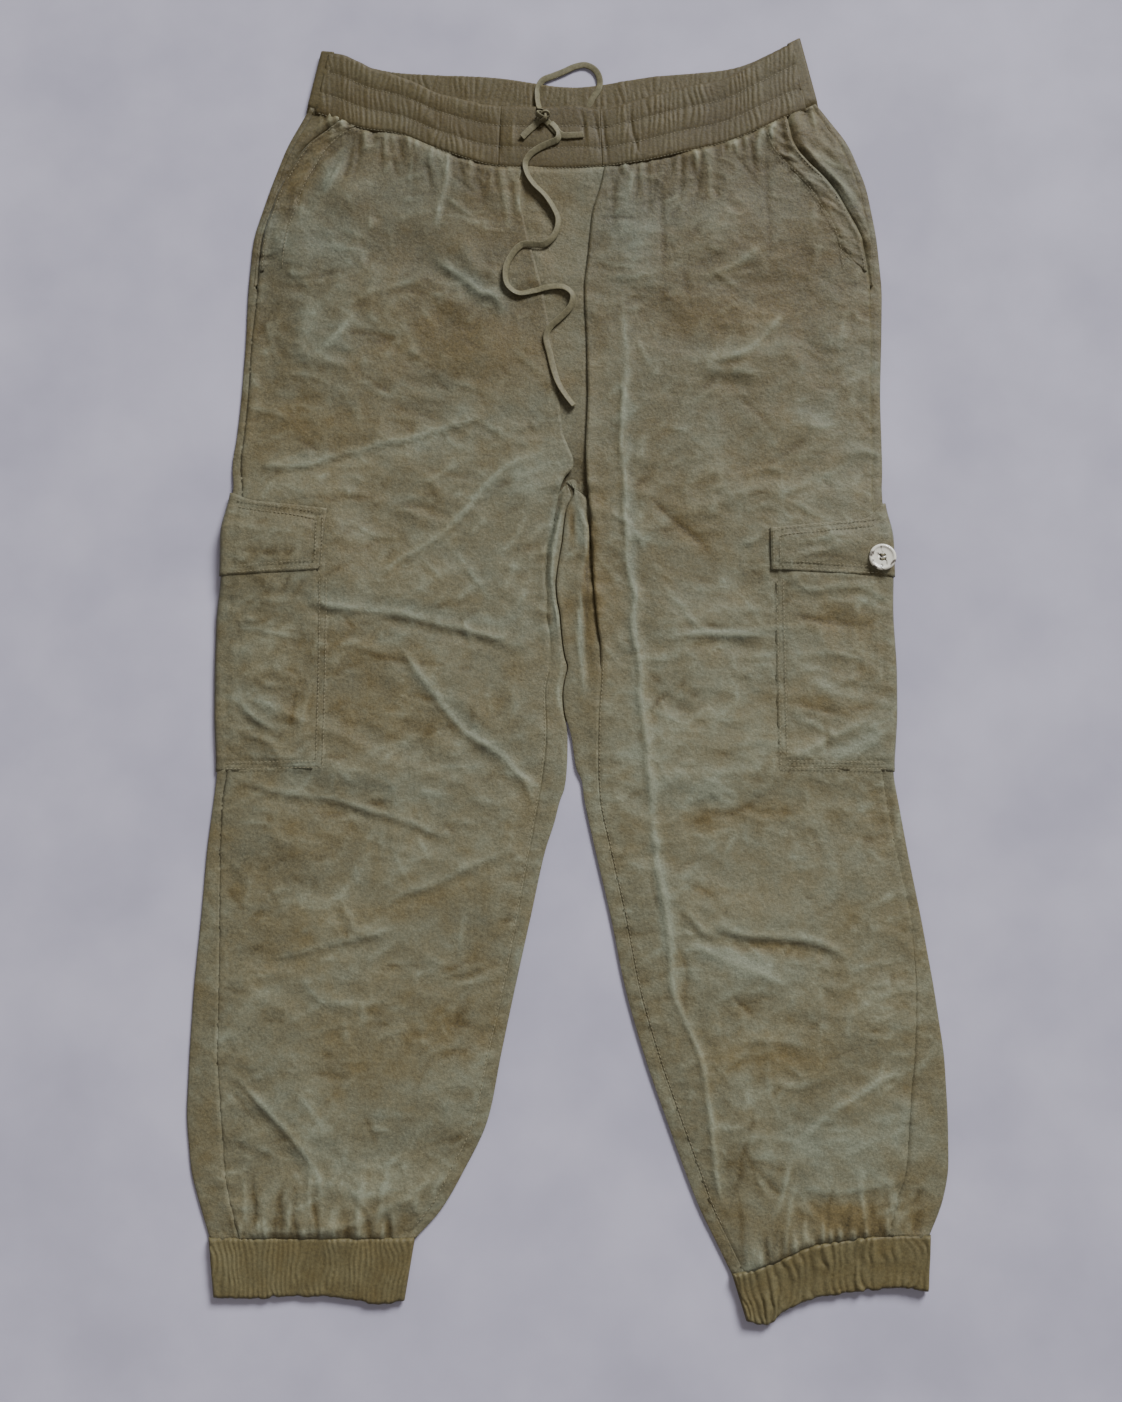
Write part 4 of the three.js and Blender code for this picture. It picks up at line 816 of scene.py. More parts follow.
def cloth_colour(tree, place, brown, pale, mottle, crease):
    """Brown to grey-green by the nap's tone with painted sheen and shade; paler along crests with painted
    highlight, darker in hollows with painted shade.
    """
    nap_sheen_and_shade, painted_light = attribute(tree, "nap_sheen_and_shade"), attribute(tree, "painted_light")
    slub = add_node(tree, "TexNoise", {"Scale": 520, "Detail": 3, "Roughness": 0.8}, place)
    tone = times_plus(tree, nap_sheen_and_shade, 0.62, -0.12)
    tone = times_plus(tree, mottle, 1.1, tone)
    tone = times_plus(tree, painted_light, 0.3, tone)
    bright = times_plus(tree, slub.outputs["Fac"], 1.5, 0.2)
    bright = times_plus(tree, painted_light, 0.3, bright)
    # painted highlight on the ridges of the fine bump creases
    bright = times_plus(tree, crease, 0.09, bright)
    shade = add_node(tree, "HueSaturation", {})
    tree.links.new(bright, shade.inputs["Value"])
    tree.links.new(ramp_between(tree, tone, brown, pale), shade.inputs["Color"])
    return shade.outputs["Color"]


def cloth_bumps(tree, place, crease, weave, crumple):
    """The slanted lines of the twill, then fine wrinkles, then the small sharp ones."""
    turned = add_node(tree, "Mapping", {"Rotation": (0, 0, math.radians(32))}, place)
    settings = {"Scale": 420, "Distortion": 1.5, "Detail": 2}
    twill = add_node(tree, "TexWave", settings, turned.outputs["Vector"])
    settings = {"Scale": 210, "Detail": 5, "Roughness": 0.7}
    wrinkle = add_node(tree, "TexNoise", settings, place)
    fine = bump(tree, twill.outputs["Fac"], 0.16 * weave, 0.0002)
    soft = bump(tree, wrinkle.outputs["Fac"], 0.7 * crumple, 0.0012, fine)
    return bump(tree, crease, 0.7 * crumple, 0.001, soft)


def cloth_material(name, brown, pale, weave=1.0, crumple=1.0):
    """Brushed, garment-dyed twill."""
    material, tree, shader, place = new_material(name)
    settings = {"Scale": 70, "Detail": 8, "Roughness": 0.62}
    mottle = add_node(tree, "TexNoise", settings, place).outputs["Fac"]
    ridges = add_node(tree, "TexNoise", {}, place)
    ridges.noise_type = "RIDGED_MULTIFRACTAL"
    for key, value in (("Scale", 42), ("Detail", 4), ("Roughness", 0.5), ("Distortion", 0.4)):
        ridges.inputs[key].default_value = value
    crease = ridges.outputs["Fac"]
    colour = cloth_colour(tree, place, brown, pale, mottle, crease)
    tree.links.new(colour, shader.inputs["Base Color"])
    tree.links.new(cloth_bumps(tree, place, crease, weave, crumple), shader.inputs["Normal"])
    rough = add_node(tree, "MapRange", {"To Min": 0.5, "To Max": 0.68})
    tree.links.new(mottle, rough.inputs["Value"])
    tree.links.new(rough.outputs["Result"], shader.inputs["Roughness"])
    shader.inputs["Specular IOR Level"].default_value = 0.22
    shader.inputs["Sheen Weight"].default_value = 0.06
    shader.inputs["Sheen Roughness"].default_value = 0.45
    shader.inputs["Sheen Tint"].default_value = (0.78, 0.86, 0.8, 1)
    return material


# the grey-green ends of these ramps stand for painted sheen as well as the nap's pale tone
cloth = cloth_material("cloth", (0.103, 0.077, 0.032), (0.12, 0.123, 0.086))
# a darker copy of the cloth for the pocket facing: painted shade inside the slant opening
cloth_shade = cloth_material("cloth_painted_shade", (0.097, 0.072, 0.029), (0.114, 0.112, 0.071))
band_cloth = cloth_material("band_cloth", (0.074, 0.0525, 0.0175), (0.087, 0.075, 0.037), crumple=0.6)
tape_cloth = cloth_material("tape_cloth", (0.1, 0.078, 0.038), (0.122, 0.113, 0.066), crumple=0.4)


def thread_material():
    material, tree, shader, place = new_material("thread")
    twist = add_node(tree, "TexNoise", {"Scale": 1500}, place).outputs["Fac"]
    colour = ramp_between(tree, twist, (0.1, 0.08, 0.04), (0.25, 0.22, 0.13))
    tree.links.new(colour, shader.inputs["Base Color"])
    shader.inputs["Roughness"].default_value = 0.6
    return material


thread = thread_material()


# ---------------------------------------------------------------- legs
ROWS_FRONT = np.concatenate([
    np.linspace(WAIST_LEVEL, WAIST_BEND, 44), np.linspace(WAIST_BEND, CUFF_BEND, 302)[1:],
    np.linspace(CUFF_BEND, CUFF_LEVEL, 28)[1:],
])
ROWS_BACK = np.linspace(WAIST_LEVEL, CUFF_LEVEL, 292)


def front_panel(leg):
    shares = np.linspace(0, 1, 98)
    x, y = strip_grid(leg, ROWS_FRONT, shares, leg.front_outer, leg.front_inner)
    z = leg_top(leg, x, y)
    to_edge = leg.side * x - leg.front_inner(y)
    turned = smooth((y + 30) / 40)
    z += 1.1 * bell(to_edge, 5) * turned * smooth((150 - y) / 20)
    z -= 0.34 * bell(to_edge, 1.8) * (1 - turned)
    z -= 0.26 * bell(leg.front_outer(y) - leg.side * x, 1.6) * smooth((290 - y) / 10)
    if leg.side > 0:
        z += (1.3 - 1.0 * smooth((y - 190) / 60)) * bell(to_edge, 6) * smooth((y - 130) / 20)
    mesh = shell_mesh(f"front_{leg.name}", grid3(x, y, z), -leg.side, wear=painted_highlight_shade(leg))
    return new_object(f"front_{leg.name}", mesh, cloth, "cloth", f"front_panel_{leg.name}")


def ground_ripple(leg, x, y):
    """Soft creases on the hidden back, pressed up off the ground."""
    table = [
        (1.3, 7, 5, 0, [(leg.side * 230, 140), (leg.side * 150, 152), (leg.side * 60, 176)]),
        (1.5, 6, 7, 0, [(leg.side * 120, 40), (leg.side * 70, 90), (leg.side * 20, 130)]),
        (1.2, 8, 6, 0, [(leg.side * 220, -128), (leg.side * 150, -136), (leg.side * 70, -150)]),
        (1.4, 7, 7, 0, [(leg.side * 210, -240), (leg.side * 150, -232), (leg.side * 90, -214)]),
        (1.1, 6, 6, 0, [(leg.side * 200, 330), (leg.side * 150, 300), (leg.side * 90, 286)]),
        (1.3, 9, 6, 0, [(leg.side * 250, -330), (leg.side * 200, -370), (leg.side * 170, -410)]),
    ]
    flat_x, flat_y = x.ravel(), y.ravel()
    ripple = pressed(flat_x, flat_y, table, 700) + 0.35 * (1 + noise(31, flat_x / 24, flat_y / 20))
    to_seam = np.minimum(flat_y - leg.cuff(flat_x), leg.waist(flat_x) + 20 - flat_y)
    pleats = 0.8 * (1 + np.sin(flat_x / 1.15 + 2 * noise(33, flat_x / 9, 0))) * smooth(1 - to_seam / 26)
    return (np.maximum(0, ripple) + np.maximum(0, pleats)).reshape(x.shape)


UNDERLAP = 1.4          # how far the back's edge goes under the front's at a seam


def to_side_seam(leg, y):
    """Width of the back's edge on top, from the outer fold to under the front."""
    return leg.outer(y) - leg.side_seam(y) + UNDERLAP


def to_inseam(leg, y):
    """The same from the inner fold."""
    return leg.front_inner(y) - leg.inner(y) + UNDERLAP


def back_panel(leg):
    """Side seam, outer fold, the layer on the ground, inner fold and the strip up to the inseam."""
    centre = -3.0 if leg.side > 0 else 1.0
    parts = []
    level = np.repeat(ROWS_BACK[:, None], 1, 1)

    def rows_at(reach_of, count):
        y = np.repeat(level, count, 1)
        for _ in range(3):
            reach = reach_of(y)
            y = bend_rows(leg, np.repeat(level, count, 1), leg.side * reach, leg.back_waist)
        return reach, y

    ease = 1 - np.cos(np.linspace(math.pi / 2, 0, 11))
    reach, y = rows_at(lambda y: leg.outer(y) - to_side_seam(leg, y) * ease[None, :], 11)
    tuck = 0.3 * smooth((leg.side_seam(y) + 1.2 - reach) / 2)
    parts.append((reach, y, leg_top(leg, leg.side * reach, y) - tuck))
    wear_out = painted_highlight_shade(leg)

    under = np.array([0.25, 0.9, 2.0, 3.6, 6.0])
    reach, y = rows_at(lambda y: leg.outer(y) - under[None, :], 5)
    low = lift(leg, y, 0 * y)
    middle = LEG_HEIGHT / 2
    parts.append((reach, y, low + middle * (1 - fold_round(under)[None, :])))

    shares = np.linspace(0, 1, 32)[1:-1]
    reach, y = rows_at(lambda y: lerp(leg.outer(y) - 6, leg.inner(y) + 6, shares[None, :]), 30)
    w = leg.outer(y) - reach
    edge = smooth((w - 10) / 14) * smooth((reach - leg.inner(y) - 10) / 14)
    parts.append((reach, y, lift(leg, y, w) + ground_ripple(leg, leg.side * reach, y) * edge))

    back = under[::-1]
    reach, y = rows_at(lambda y: leg.inner(y) + back[None, :], 5)
    parts.append((reach, y, middle * (1 - fold_round(back)[None, :]) + 0 * y))
    ease_in = 1 - np.cos(np.linspace(0, math.pi / 2, 16))
    reach, y = rows_at(lambda y: leg.inner(y) + to_inseam(leg, y) * ease_in[None, :], 16)
    tuck = lerp(0.15, 0.35, smooth((y + 30) / 40)) * smooth((reach - leg.front_inner(y) + 1.2) / 2)
    to_front = leg.front_inner(y) - reach
    hollow = 0.4 * smooth((reach - leg.inner(y) - 2) / 3)
    hollow += lerp(0.9, 2.0, smooth((y - 30) / 40)) * bell(to_front, 2.4)
    recess = smooth((y + 25) / 40) * hollow
    parts.append((reach, y, leg_top(leg, leg.side * reach, y) - tuck - recess))
    wear = np.concatenate([wear_out, np.zeros((len(y), 40)), painted_highlight_shade(leg)], 1)

    reach, y, z = (np.concatenate([p[k] for p in parts], 1) for k in range(3))
    flat = smooth((y[:, 46:] - 113) / 16)
    run = np.linspace(0, 1, 21)[None, :]
    reach[:, 46:] = lerp(reach[:, 46:], lerp(leg.inner(y[:, 46:]) + 5, centre, run), flat)
    z[:, 46:] = lerp(z[:, 46:], 0.92 if leg.side > 0 else 0.6, flat)
    mesh = shell_mesh(f"back_{leg.name}", grid3(leg.side * reach, y, z), leg.side, wear=wear)
    return new_object(f"back_{leg.name}", mesh, cloth, "cloth", f"back_panel_{leg.name}")


def slant_pocket(leg):
    """The stitched band along the slant opening and the pocket cloth seen through it."""
    levels = np.linspace(WAIST_LEVEL, 300, 62)

    def band_in(y):
        return leg.front_outer(y) - 6 - 15 * smooth((y - 296) / 26)

    def facing_in(y):
        return np.minimum(leg.front_outer(y) - 5, leg.side_seam(y) - 1)

    x, y = strip_grid(leg, levels, np.linspace(0, 1, 15), leg.front_outer, band_in)
    across = leg.front_outer(y) - leg.side * x
    width = leg.front_outer(y) - band_in(y)
    along = y - 0.6 * across
    crinkle = 1.0 * np.abs(noise(17, across / 14, along / 3.6)) + 0.5 * noise(19, across / 9, along / 6)
    crinkle *= smooth(across / 3) * smooth((width - across) / 3)
    flush = 0.75 * smooth((width - across) / 1.6) - 0.35
    z = leg_top(leg, x, y) + flush + crinkle + 0.6 * bell(across - 2.5, 2.5)
    z -= 0.8 * bell(width - across - 2.5, 1.3) + 0.9 * smooth((307 - y) / 6)
    mesh = shell_mesh(f"pocket_band_{leg.name}", grid3(x, y, z), -leg.side, wear=painted_highlight_shade(leg))
    new_object(f"pocket_band_{leg.name}", mesh, cloth, "cloth", f"pocket_welt_{leg.name}")

    levels = np.linspace(WAIST_LEVEL, 288, 70)
    x, y = strip_grid(leg, levels, np.linspace(0, 1, 22), leg.side_seam, facing_in)
    beyond = leg.side * x - leg.front_outer(y)
    open_share = smooth((leg.side_seam(y) - leg.front_outer(y)) / 8)
    sunk = 2.2 * bell(np.maximum(beyond, 0), 2.3) * smooth((leg.side_seam(y) - leg.side * x) / 3)
    fold = 1.5 * bell(beyond - 8, 3.2)
    fold += 0.8 * noise(37, beyond / 7, y / 16) * smooth(beyond / 8)
    z = np.maximum(0.9, leg_top(leg, x, y) - 0.25 + (fold - sunk) * open_share)
    mesh = shell_mesh(f"facing_{leg.name}", grid3(x, y, z), -leg.side, wear=painted_highlight_shade(leg))
    return new_object(f"facing_{leg.name}", mesh, cloth_shade, "cloth", f"pocket_facing_{leg.name}")


BORDER = 2.6            # how far in from its edge a patch reaches its height
STITCH_ROWS = (2, 7)    # how far in its two rows of stitches are


def patch(leg, name, node, top, bottom, front, layers, creases, swell):
    """A patch from its front edge out over the leg, round the outer fold and 82 mm under it."""
    grow = layers * 1.15
    drop = 0.9 if layers == 1 else 0.0
    round_fold = 0.09 * np.cos(np.linspace(0, math.pi / 2, 9))[1:]
    over = np.concatenate([np.linspace(1, 0.09, 40), round_fold])
    t = np.linspace(0, 1, max(24, int((top[0] - bottom[0]) / 2.2)))
    level = lerp(top[1], bottom[1], t)
    width = leg.outer(level) + grow - front(level)
    upper_w = width[:, None] * over[None, :]
    under = np.concatenate([[0.3, 1.0, 2.2, 4, 7], np.linspace(11, 82, 24)])
    lower_w = np.repeat(under[None, :], len(t), 0)

    def height_at(w):
        share = np.clip(w / 90, 0, 1)
        curl = top[2] * bell(w, 12)
        high, low = lerp(top[0], top[1], share) + curl, lerp(bottom[0], bottom[1], share)
        return lerp(high, low, t[:, None])

    y_up, y_low = height_at(upper_w), height_at(lower_w)
    reach_up = leg.outer(y_up) + grow - upper_w
    x_up = leg.side * reach_up
    inward = np.minimum(width[:, None] - upper_w, 60)
    rows_in = np.minimum(t, 1 - t)[:, None] * abs(top[0] - bottom[0])
    border = smooth(inward / BORDER) * smooth(rows_in / BORDER)
    bag = swell * smooth(inward / 26) * smooth(rows_in / 24)
    hem = sum(-0.7 * bell(place - inset, 1.3) for place in (inward, rows_in) for inset in STITCH_ROWS)
    z_up = leg_top(leg, x_up, y_up, grow, creases)
    raised = bag + hem + 0.25 * (layers - 1) + 0.25 * noise(23, x_up / 7, y_up / 6)
    z_up += raised * fold_round(upper_w) - drop * (1 - border)
    wear = np.concatenate([painted_highlight_shade(leg), np.zeros(lower_w.shape)], 1)
    reach_low = leg.outer(y_low) + grow - lower_w
    base = np.maximum(0, lift(leg, y_low, 0 * y_low) - grow)
    middle = (LEG_HEIGHT / 2) + grow
    z_low = base + middle * (1 - fold_round(lower_w))
    x = leg.side * np.concatenate([reach_up, reach_low], 1)
    points = grid3(x, np.concatenate([y_up, y_low], 1), np.concatenate([z_up, z_low], 1))
    mesh = shell_mesh(name, points, leg.side, 0.7, wear=wear)
    return new_object(name, mesh, cloth, "cloth", node)


# The centre-front seam, as (y, distance from the middle on the wearer's right).
FLY_SEAM = [
    (380, 30), (360, 34), (335, 33), (310, 28), (290, 22), (270, 16), (250, 12), (220, 9),
    (190, 6), (160, 0), (140, -4), (130, 1), (120, 5), (110, 7), (90, 11),
]


def fly_piece():
    """The flat strip between the centre-front seam and the fold of the left front, which goes on
    down as the floor of the hollow between the legs' tops."""
    left, right = LEGS
    seam = smooth_curve(FLY_SEAM)
    share = np.linspace(0, 1, 30)[None, :]
    y = np.repeat(np.linspace(389, -62, 220)[:, None], 30, 1)
    apart = smooth((140 - y) / 20)
    low = smooth((104 - y) / 14)
    from_side = lerp(-seam(np.maximum(y, 90)) - 8 + 4 * apart, -right.inner(y) - 5, low)
    to_side = lerp(left.front_inner(y) + 4 - 1.5 * apart, left.inner(y) + 5, low)
    x = lerp(from_side, to_side, share)
    on_right, on_left = leg_top(right, np.minimum(x, -3), y), leg_top(left, np.maximum(x, 3), y)
    base = lerp(on_right, on_left, smooth((x + 6) / 12))
    beside = (0.8 - 0.6 * smooth((y - 190) / 60)) * smooth((share - 0.8) / 0.2)
    open_z = base - 0.7 - beside + 1.0 * smooth((y - 370) / 14)
    z = lerp(0.9 + 0.2 * noise(35, x / 4, y / 9) - 0.2 * low, open_z, smooth((y - 116) / 44))
    # painted shade: darker down into the hollow between the legs' tops
    mesh = shell_mesh("fly", grid3(x, y, z), 1, wear=-0.5 * smooth((190 - y) / 60) - 0.5 * apart)
    return new_object("fly", mesh, cloth, "cloth", "mock_fly")


for leg in LEGS:
    front_panel(leg)
    back_panel(leg)
    slant_pocket(leg)
fly_piece()

POCKET_EDGE = {"left": 159.0, "right": 183.5}       # front edge of each cargo pocket
FLAP_TOP = {"left": (97, 89, 12), "right": (112, 102, 5)}
FLAP_BOTTOM = (50, 55)


def cargo_pocket(leg):
    """The patch pocket and the flap over it."""
    edge = POCKET_EDGE[leg.name]
    front_edge = smooth_curve([(120, edge), (50, edge + 1), (-40, edge - 1), (-110, edge + 1)])
    pocket, flap = f"cargo_pocket_cloth_{leg.name}", f"cargo_flap_cloth_{leg.name}"
    patch(leg, pocket, f"cargo_pocket_{leg.name}", (76, 66, 0), (-101, -100), front_edge, 1,
          POCKET_CREASES, 0.5)

    def flap_edge(y):
        return 157.0 + 0 * y if leg.side > 0 else 187.0 + (103 - y) * 0.1

    patch(leg, flap, f"cargo_flap_{leg.name}", FLAP_TOP[leg.name], FLAP_BOTTOM, flap_edge, 2,
          FLAP_CREASES, 0.9)


for leg in LEGS:
    cargo_pocket(leg)


# ---------------------------------------------------------------- waistband and cuffs
BAND_CREASES = [
    (-1.4, 1.6, 1.6, 0, [(-56, 386), (-55, 405), (-54, 425), (-53, 444)]),
    (-1.3, 1.3, 1.3, 0, [(28, 386), (26, 405), (23, 425), (20, 444)]),
    (-1.3, 1.3, 1.3, 0, [(33, 386), (31, 405), (29, 425), (28, 444)]),
    (-1.6, 1.6, 1.8, 0, [(61, 390), (56, 408), (51, 428), (49, 448)]),
    (-1.2, 1.4, 1.4, 0, [(15, 405), (13, 425), (10, 443)]),
    (1.0, 5, 3, 0, [(-46, 392), (-45, 415), (-44, 440)]),
    (0.8, 3, 3, 0, [(19, 392), (17, 415), (16, 438)]),
]


def band_column(table, share):
    """Upper and lower edge of a band at a share of its length."""
    rows = np.array(table, float)
    length = np.concatenate([[0], np.cumsum(np.hypot(np.diff(rows[:, 0]), np.diff(rows[:, 1])))])
    place = share * length[-1]
    return [smooth_curve(list(zip(length, rows[:, k])))(place) for k in range(4)], length[-1]


def gathers(x, v, step, seed, calm):
    """Uneven upright pleats of a gathered band: rounded ridges with narrow valleys, 0 to 1."""
    shift = 0.75 * noise(seed, x / 15, v * 2.2) + 0.3 * noise(seed + 1, x / 6, v * 3.1)
    ridge = np.abs(np.sin(math.pi * (x / step + shift))) ** 0.75
    depth = np.clip(0.62 + 0.5 * noise(seed + 2, x / 9, v * 2.6), 0.12, 1)
    return ridge * depth * calm


def channels(v):
    """Three padded elastic channels between their stitch lines."""
    return np.abs(np.sin(3 * math.pi * np.clip(v, 0, 1))) ** 0.55


def front_band_height(x, v):
    calm = 0.2 + 0.8 * (smooth((-52 - x) / 10) + smooth((x - 34) / 14))
    inset = np.clip(np.minimum(v, 1 - v) / 0.07, 0, 1)
    edge = np.maximum(np.sqrt(1 - (1 - inset) ** 2), 0.5 * (v > 0.5))
    pillow = channels(v)
    relief = 0.6 * pillow + 0.75 * gathers(x, v, 4.3, 80, calm) * (0.45 + 0.65 * pillow)
    return 3.1 + edge * (2.1 + relief + 0.5 * noise(85, x / 40, v * 2))


def front_band(name, node, start, end, count):
    share, v = np.meshgrid(np.linspace(start, end, count), np.linspace(0, 1, 54))
    (x_top, y_top, x_low, y_low), _ = band_column(FRONT_BAND, share)
    x, y = lerp(x_top, x_low, v), lerp(y_top, y_low, v)
    y = y + 0.5 * noise(87, x / 7, v) * (1 - v)
    z = front_band_height(x, v)
    z += pressed(x.ravel(), y.ravel(), BAND_CREASES, 300).reshape(x.shape)
    # painted highlight on the band's raised gathers, painted shade in its hollows
    wear = np.clip(0.6 * (z - 6.2) - 0.35, -1, 1)
    mesh = shell_mesh(name, grid3(x, y, z), 1, 1.2, wear=wear)
    return new_object(name, mesh, band_cloth, "band", node)


def share_at(table, x):
    shares = np.linspace(0, 1, 400)
    (x_top, _, _, _), _ = band_column(table, shares)
    return float(np.interp(x, x_top, shares))


first, last = share_at(FRONT_BAND, -195), share_at(FRONT_BAND, 184)
seam_right, seam_left = share_at(FRONT_BAND, -54), share_at(FRONT_BAND, 26)
front_band("band_front_right", "waistband_front_right", first, seam_right, 150)
front_band("band_front_centre", "waistband_front_centre", seam_right, seam_left, 78)
front_band("band_front_left", "waistband_front_left", seam_left, last, 175)


def back_band():
    """The back of the band: its inside shows above the front one, and it rolls round both sides."""
    v = np.linspace(0, 1, 46)[:, None]
    height = 5.4
    radius = height / 2
    share = np.linspace(0, 1, 330)
    (x_top, y_top, x_low, y_low), _ = band_column(BACK_BAND, share)
    x, y = lerp(x_top, x_low, v), lerp(y_top, y_low, v)
    wrinkle = gathers(x, v, 4.6, 90, 1.0) * (0.4 + 0.6 * channels(v))
    arc = np.linspace(0, math.pi, 9)
    front = np.linspace(1, 0, 8)[:-1] * 8.5
    arc_x = radius * (1 - np.sin(arc))[None, :]
    arc_z = np.cos(arc)[None, :] * radius + radius + 0 * v
    left_x, right_x = x[:, :1] + arc_x, x[:, -1:] - arc_x
    side_pleats = gathers(v * 0 + y[:, :1], v * 2, 4.6, 93, 0.9)
    fade = smooth(front / 8)
    left_top = x[:, :1] + radius + front[None, :]
    right_top = x[:, -1:] - radius - front[::-1][None, :]
    left_top_z = height + 0 * v + side_pleats * fade * 0.8
    right_top_z = height + 0 * v + side_pleats * fade[::-1] * 0.8
    keep = slice(6, -6)
    closing = 1 - 0.5 * smooth((v - 0.86) / 0.14)
    xs = np.concatenate([left_top, left_x, x[:, keep], right_x[:, ::-1], right_top], 1)
    flat_z = 0.8 * wrinkle[:, keep] * smooth((share[keep] - 0.03) * 30)
    zs = np.concatenate([left_top_z, arc_z, flat_z, arc_z[:, ::-1], right_top_z], 1)
    lean_left, lean_right = lerp(-0.125, -0.33, v), lerp(0.56, 0.33, v)
    y_left = y[:, :1] + lean_left * (np.concatenate([left_top, left_x], 1) - x[:, :1])
    y_right = y[:, -1:] + lean_right * (np.concatenate([right_x[:, ::-1], right_top], 1) - x[:, -1:])
    ys = np.concatenate([y_left, y[:, keep], y_right], 1)
    inside = np.maximum(0, zs) * closing
    mesh = shell_mesh("band_back", grid3(xs, ys, inside), -1, 1.9, wear=-0.35)
    return new_object("band_back", mesh, band_cloth, "band", "waistband_back")


back_band()


def cuff(leg):
    """A gathered elastic band round the ankle, pressed flat: a closed tube."""
    height = 4.7
    radius = height / 2
    v = np.linspace(0, 1, 40)[:, None]
    share = np.linspace(0, 1, 150)
    (x_top, y_top, x_low, y_low), length = band_column(CUFFS[leg.name], share)
    x, y = lerp(x_top, x_low, v), lerp(y_top, y_low, v)
    along = share[None, :] * length + 0 * v
    step, strength = (6.4, 2.2) if leg.side > 0 else (3.9, 1.3)
    pleats = gathers(along, v * 1.2, step, 120 + leg.side, 1.0)
    inset = np.minimum(along, length - along)
    end = np.sqrt(np.clip(1 - (1 - np.clip(inset / radius, 0, 1)) ** 2, 0, 1))
    rim = np.sqrt(np.clip(1 - (1 - np.clip(np.minimum(v, 1 - v) / 0.06, 0, 1)) ** 2, 0.25, 1))
    lump = 0.9 * noise(127, along / 30, v * 1.4)
    upper = radius + (radius + strength * pleats + 0.6 + lump * smooth(inset / 14)) * end * rim
    y = y + 1.0 * noise(129, along / 6, 0.5) * v + 0.5 * noise(131, along / 3, 0.5) * v
    below = slice(-1, 0, -3)
    lower = radius - radius * end
    xs = np.concatenate([x, x[:, below]], 1)
    ys = np.concatenate([y, y[:, below]], 1)
    zs = np.concatenate([upper, lower[:, below]], 1)
    # painted highlight on the pleats' crests, painted shade between them
    wear = np.concatenate([0.9 * pleats + 0.15, np.zeros((len(v), xs.shape[1] - x.shape[1]))], 1)
    mesh = shell_mesh(f"cuff_cloth_{leg.name}", grid3(xs, ys, zs), -leg.side, 1.3, closed=True, wear=wear)
    return new_object(f"cuff_cloth_{leg.name}", mesh, band_cloth, "band", f"cuff_{leg.name}")


for leg in LEGS:
    cuff(leg)


def garment_top(x, y):
    """Height of the cloth under a point of the drawstring."""
    (_, y_top, _, y_low), _ = band_column(FRONT_BAND, share_at(FRONT_BAND, x))
    v = (y_top - y) / (y_top - y_low)
    if v < 0:
        return 1.2 if y < 459 else 0.0
    if v < 1:
        return float(front_band_height(np.float64(x), np.float64(v)))
    leg = LEGS[0] if x > 10 else LEGS[1]
    return float(leg_top(leg, np.array([x if abs(x) > 6 else leg.side * 6.0]), np.array([float(y)]))[0])


# ---------------------------------------------------------------- drawstring
# Points of each stretch, as (x, y, roll in degrees), over the cloth that it lies on.
TAPE = {
    "drawstring_loop": [
        (16, 439, 0), (20, 449, 5), (25, 457, 20), (26.5, 466, 30), (23, 475, 25), (15, 480, 10),
        (6, 478.5, 10), (-3, 474, 20), (-12, 470, 30), (-20, 466, 60), (-24, 459, 75),
        (-24.5, 450, 75), (-23.5, 443, 70), (-22, 437.5, 50),
    ],
    "drawstring_short": [
        (13, 415.5, 15), (8, 415, 20), (3, 414.7, 25), (-3, 414.5, 25), (-9, 418, 20), (-14.5, 424.5, 20),
        (-19, 428.5, 30), (-23.5, 427, 40), (-27, 423, 40), (-30, 420, 35), (-33, 417, 30), (-37, 412.5, 40),
    ],
    "drawstring_long": [
        (-13.5, 426, 30), (-9.5, 421.5, 40), (-7, 416, 60), (-8.5, 410.5, 75), (-15, 407.5, 60),
        (-23, 403.5, 60), (-30, 398, 70), (-34, 390.5, 75), (-32.5, 381, 75), (-27, 372, 70),
        (-19, 364, 70), (-12, 354, 70),
        (-7.5, 343, 60), (-10, 331, 65), (-18, 322, 75), (-28, 321.5, 55), (-37, 321, 50), (-45, 312, 70),
        (-49.5, 300, 78), (-48, 287.5, 75), (-39, 281, 60), (-27, 283, 30), (-14, 286, 15), (-3, 285.5, 40),
        (4, 279, 65), (2, 269, 60), (-6, 260, 60), (-14, 252, 70), (-17, 243, 40), (-14, 230, 15),
        (-11, 217, 25), (-7, 205, 55), (-1, 195, 70), (5, 187, 75),
    ],
}
TAPE_WIDTH = 5.2
TAPE_HALF_THICK = 0.4
ROLL_SHARE = 0.42       # share of the drawn turn that the tape really has


def sections(path, wide, across, thick, up):
    """A ring of points round each point of a path."""
    return path[:, None] + wide[None, :, None] * across[:, None] + thick[None, :, None] * up[:, None]


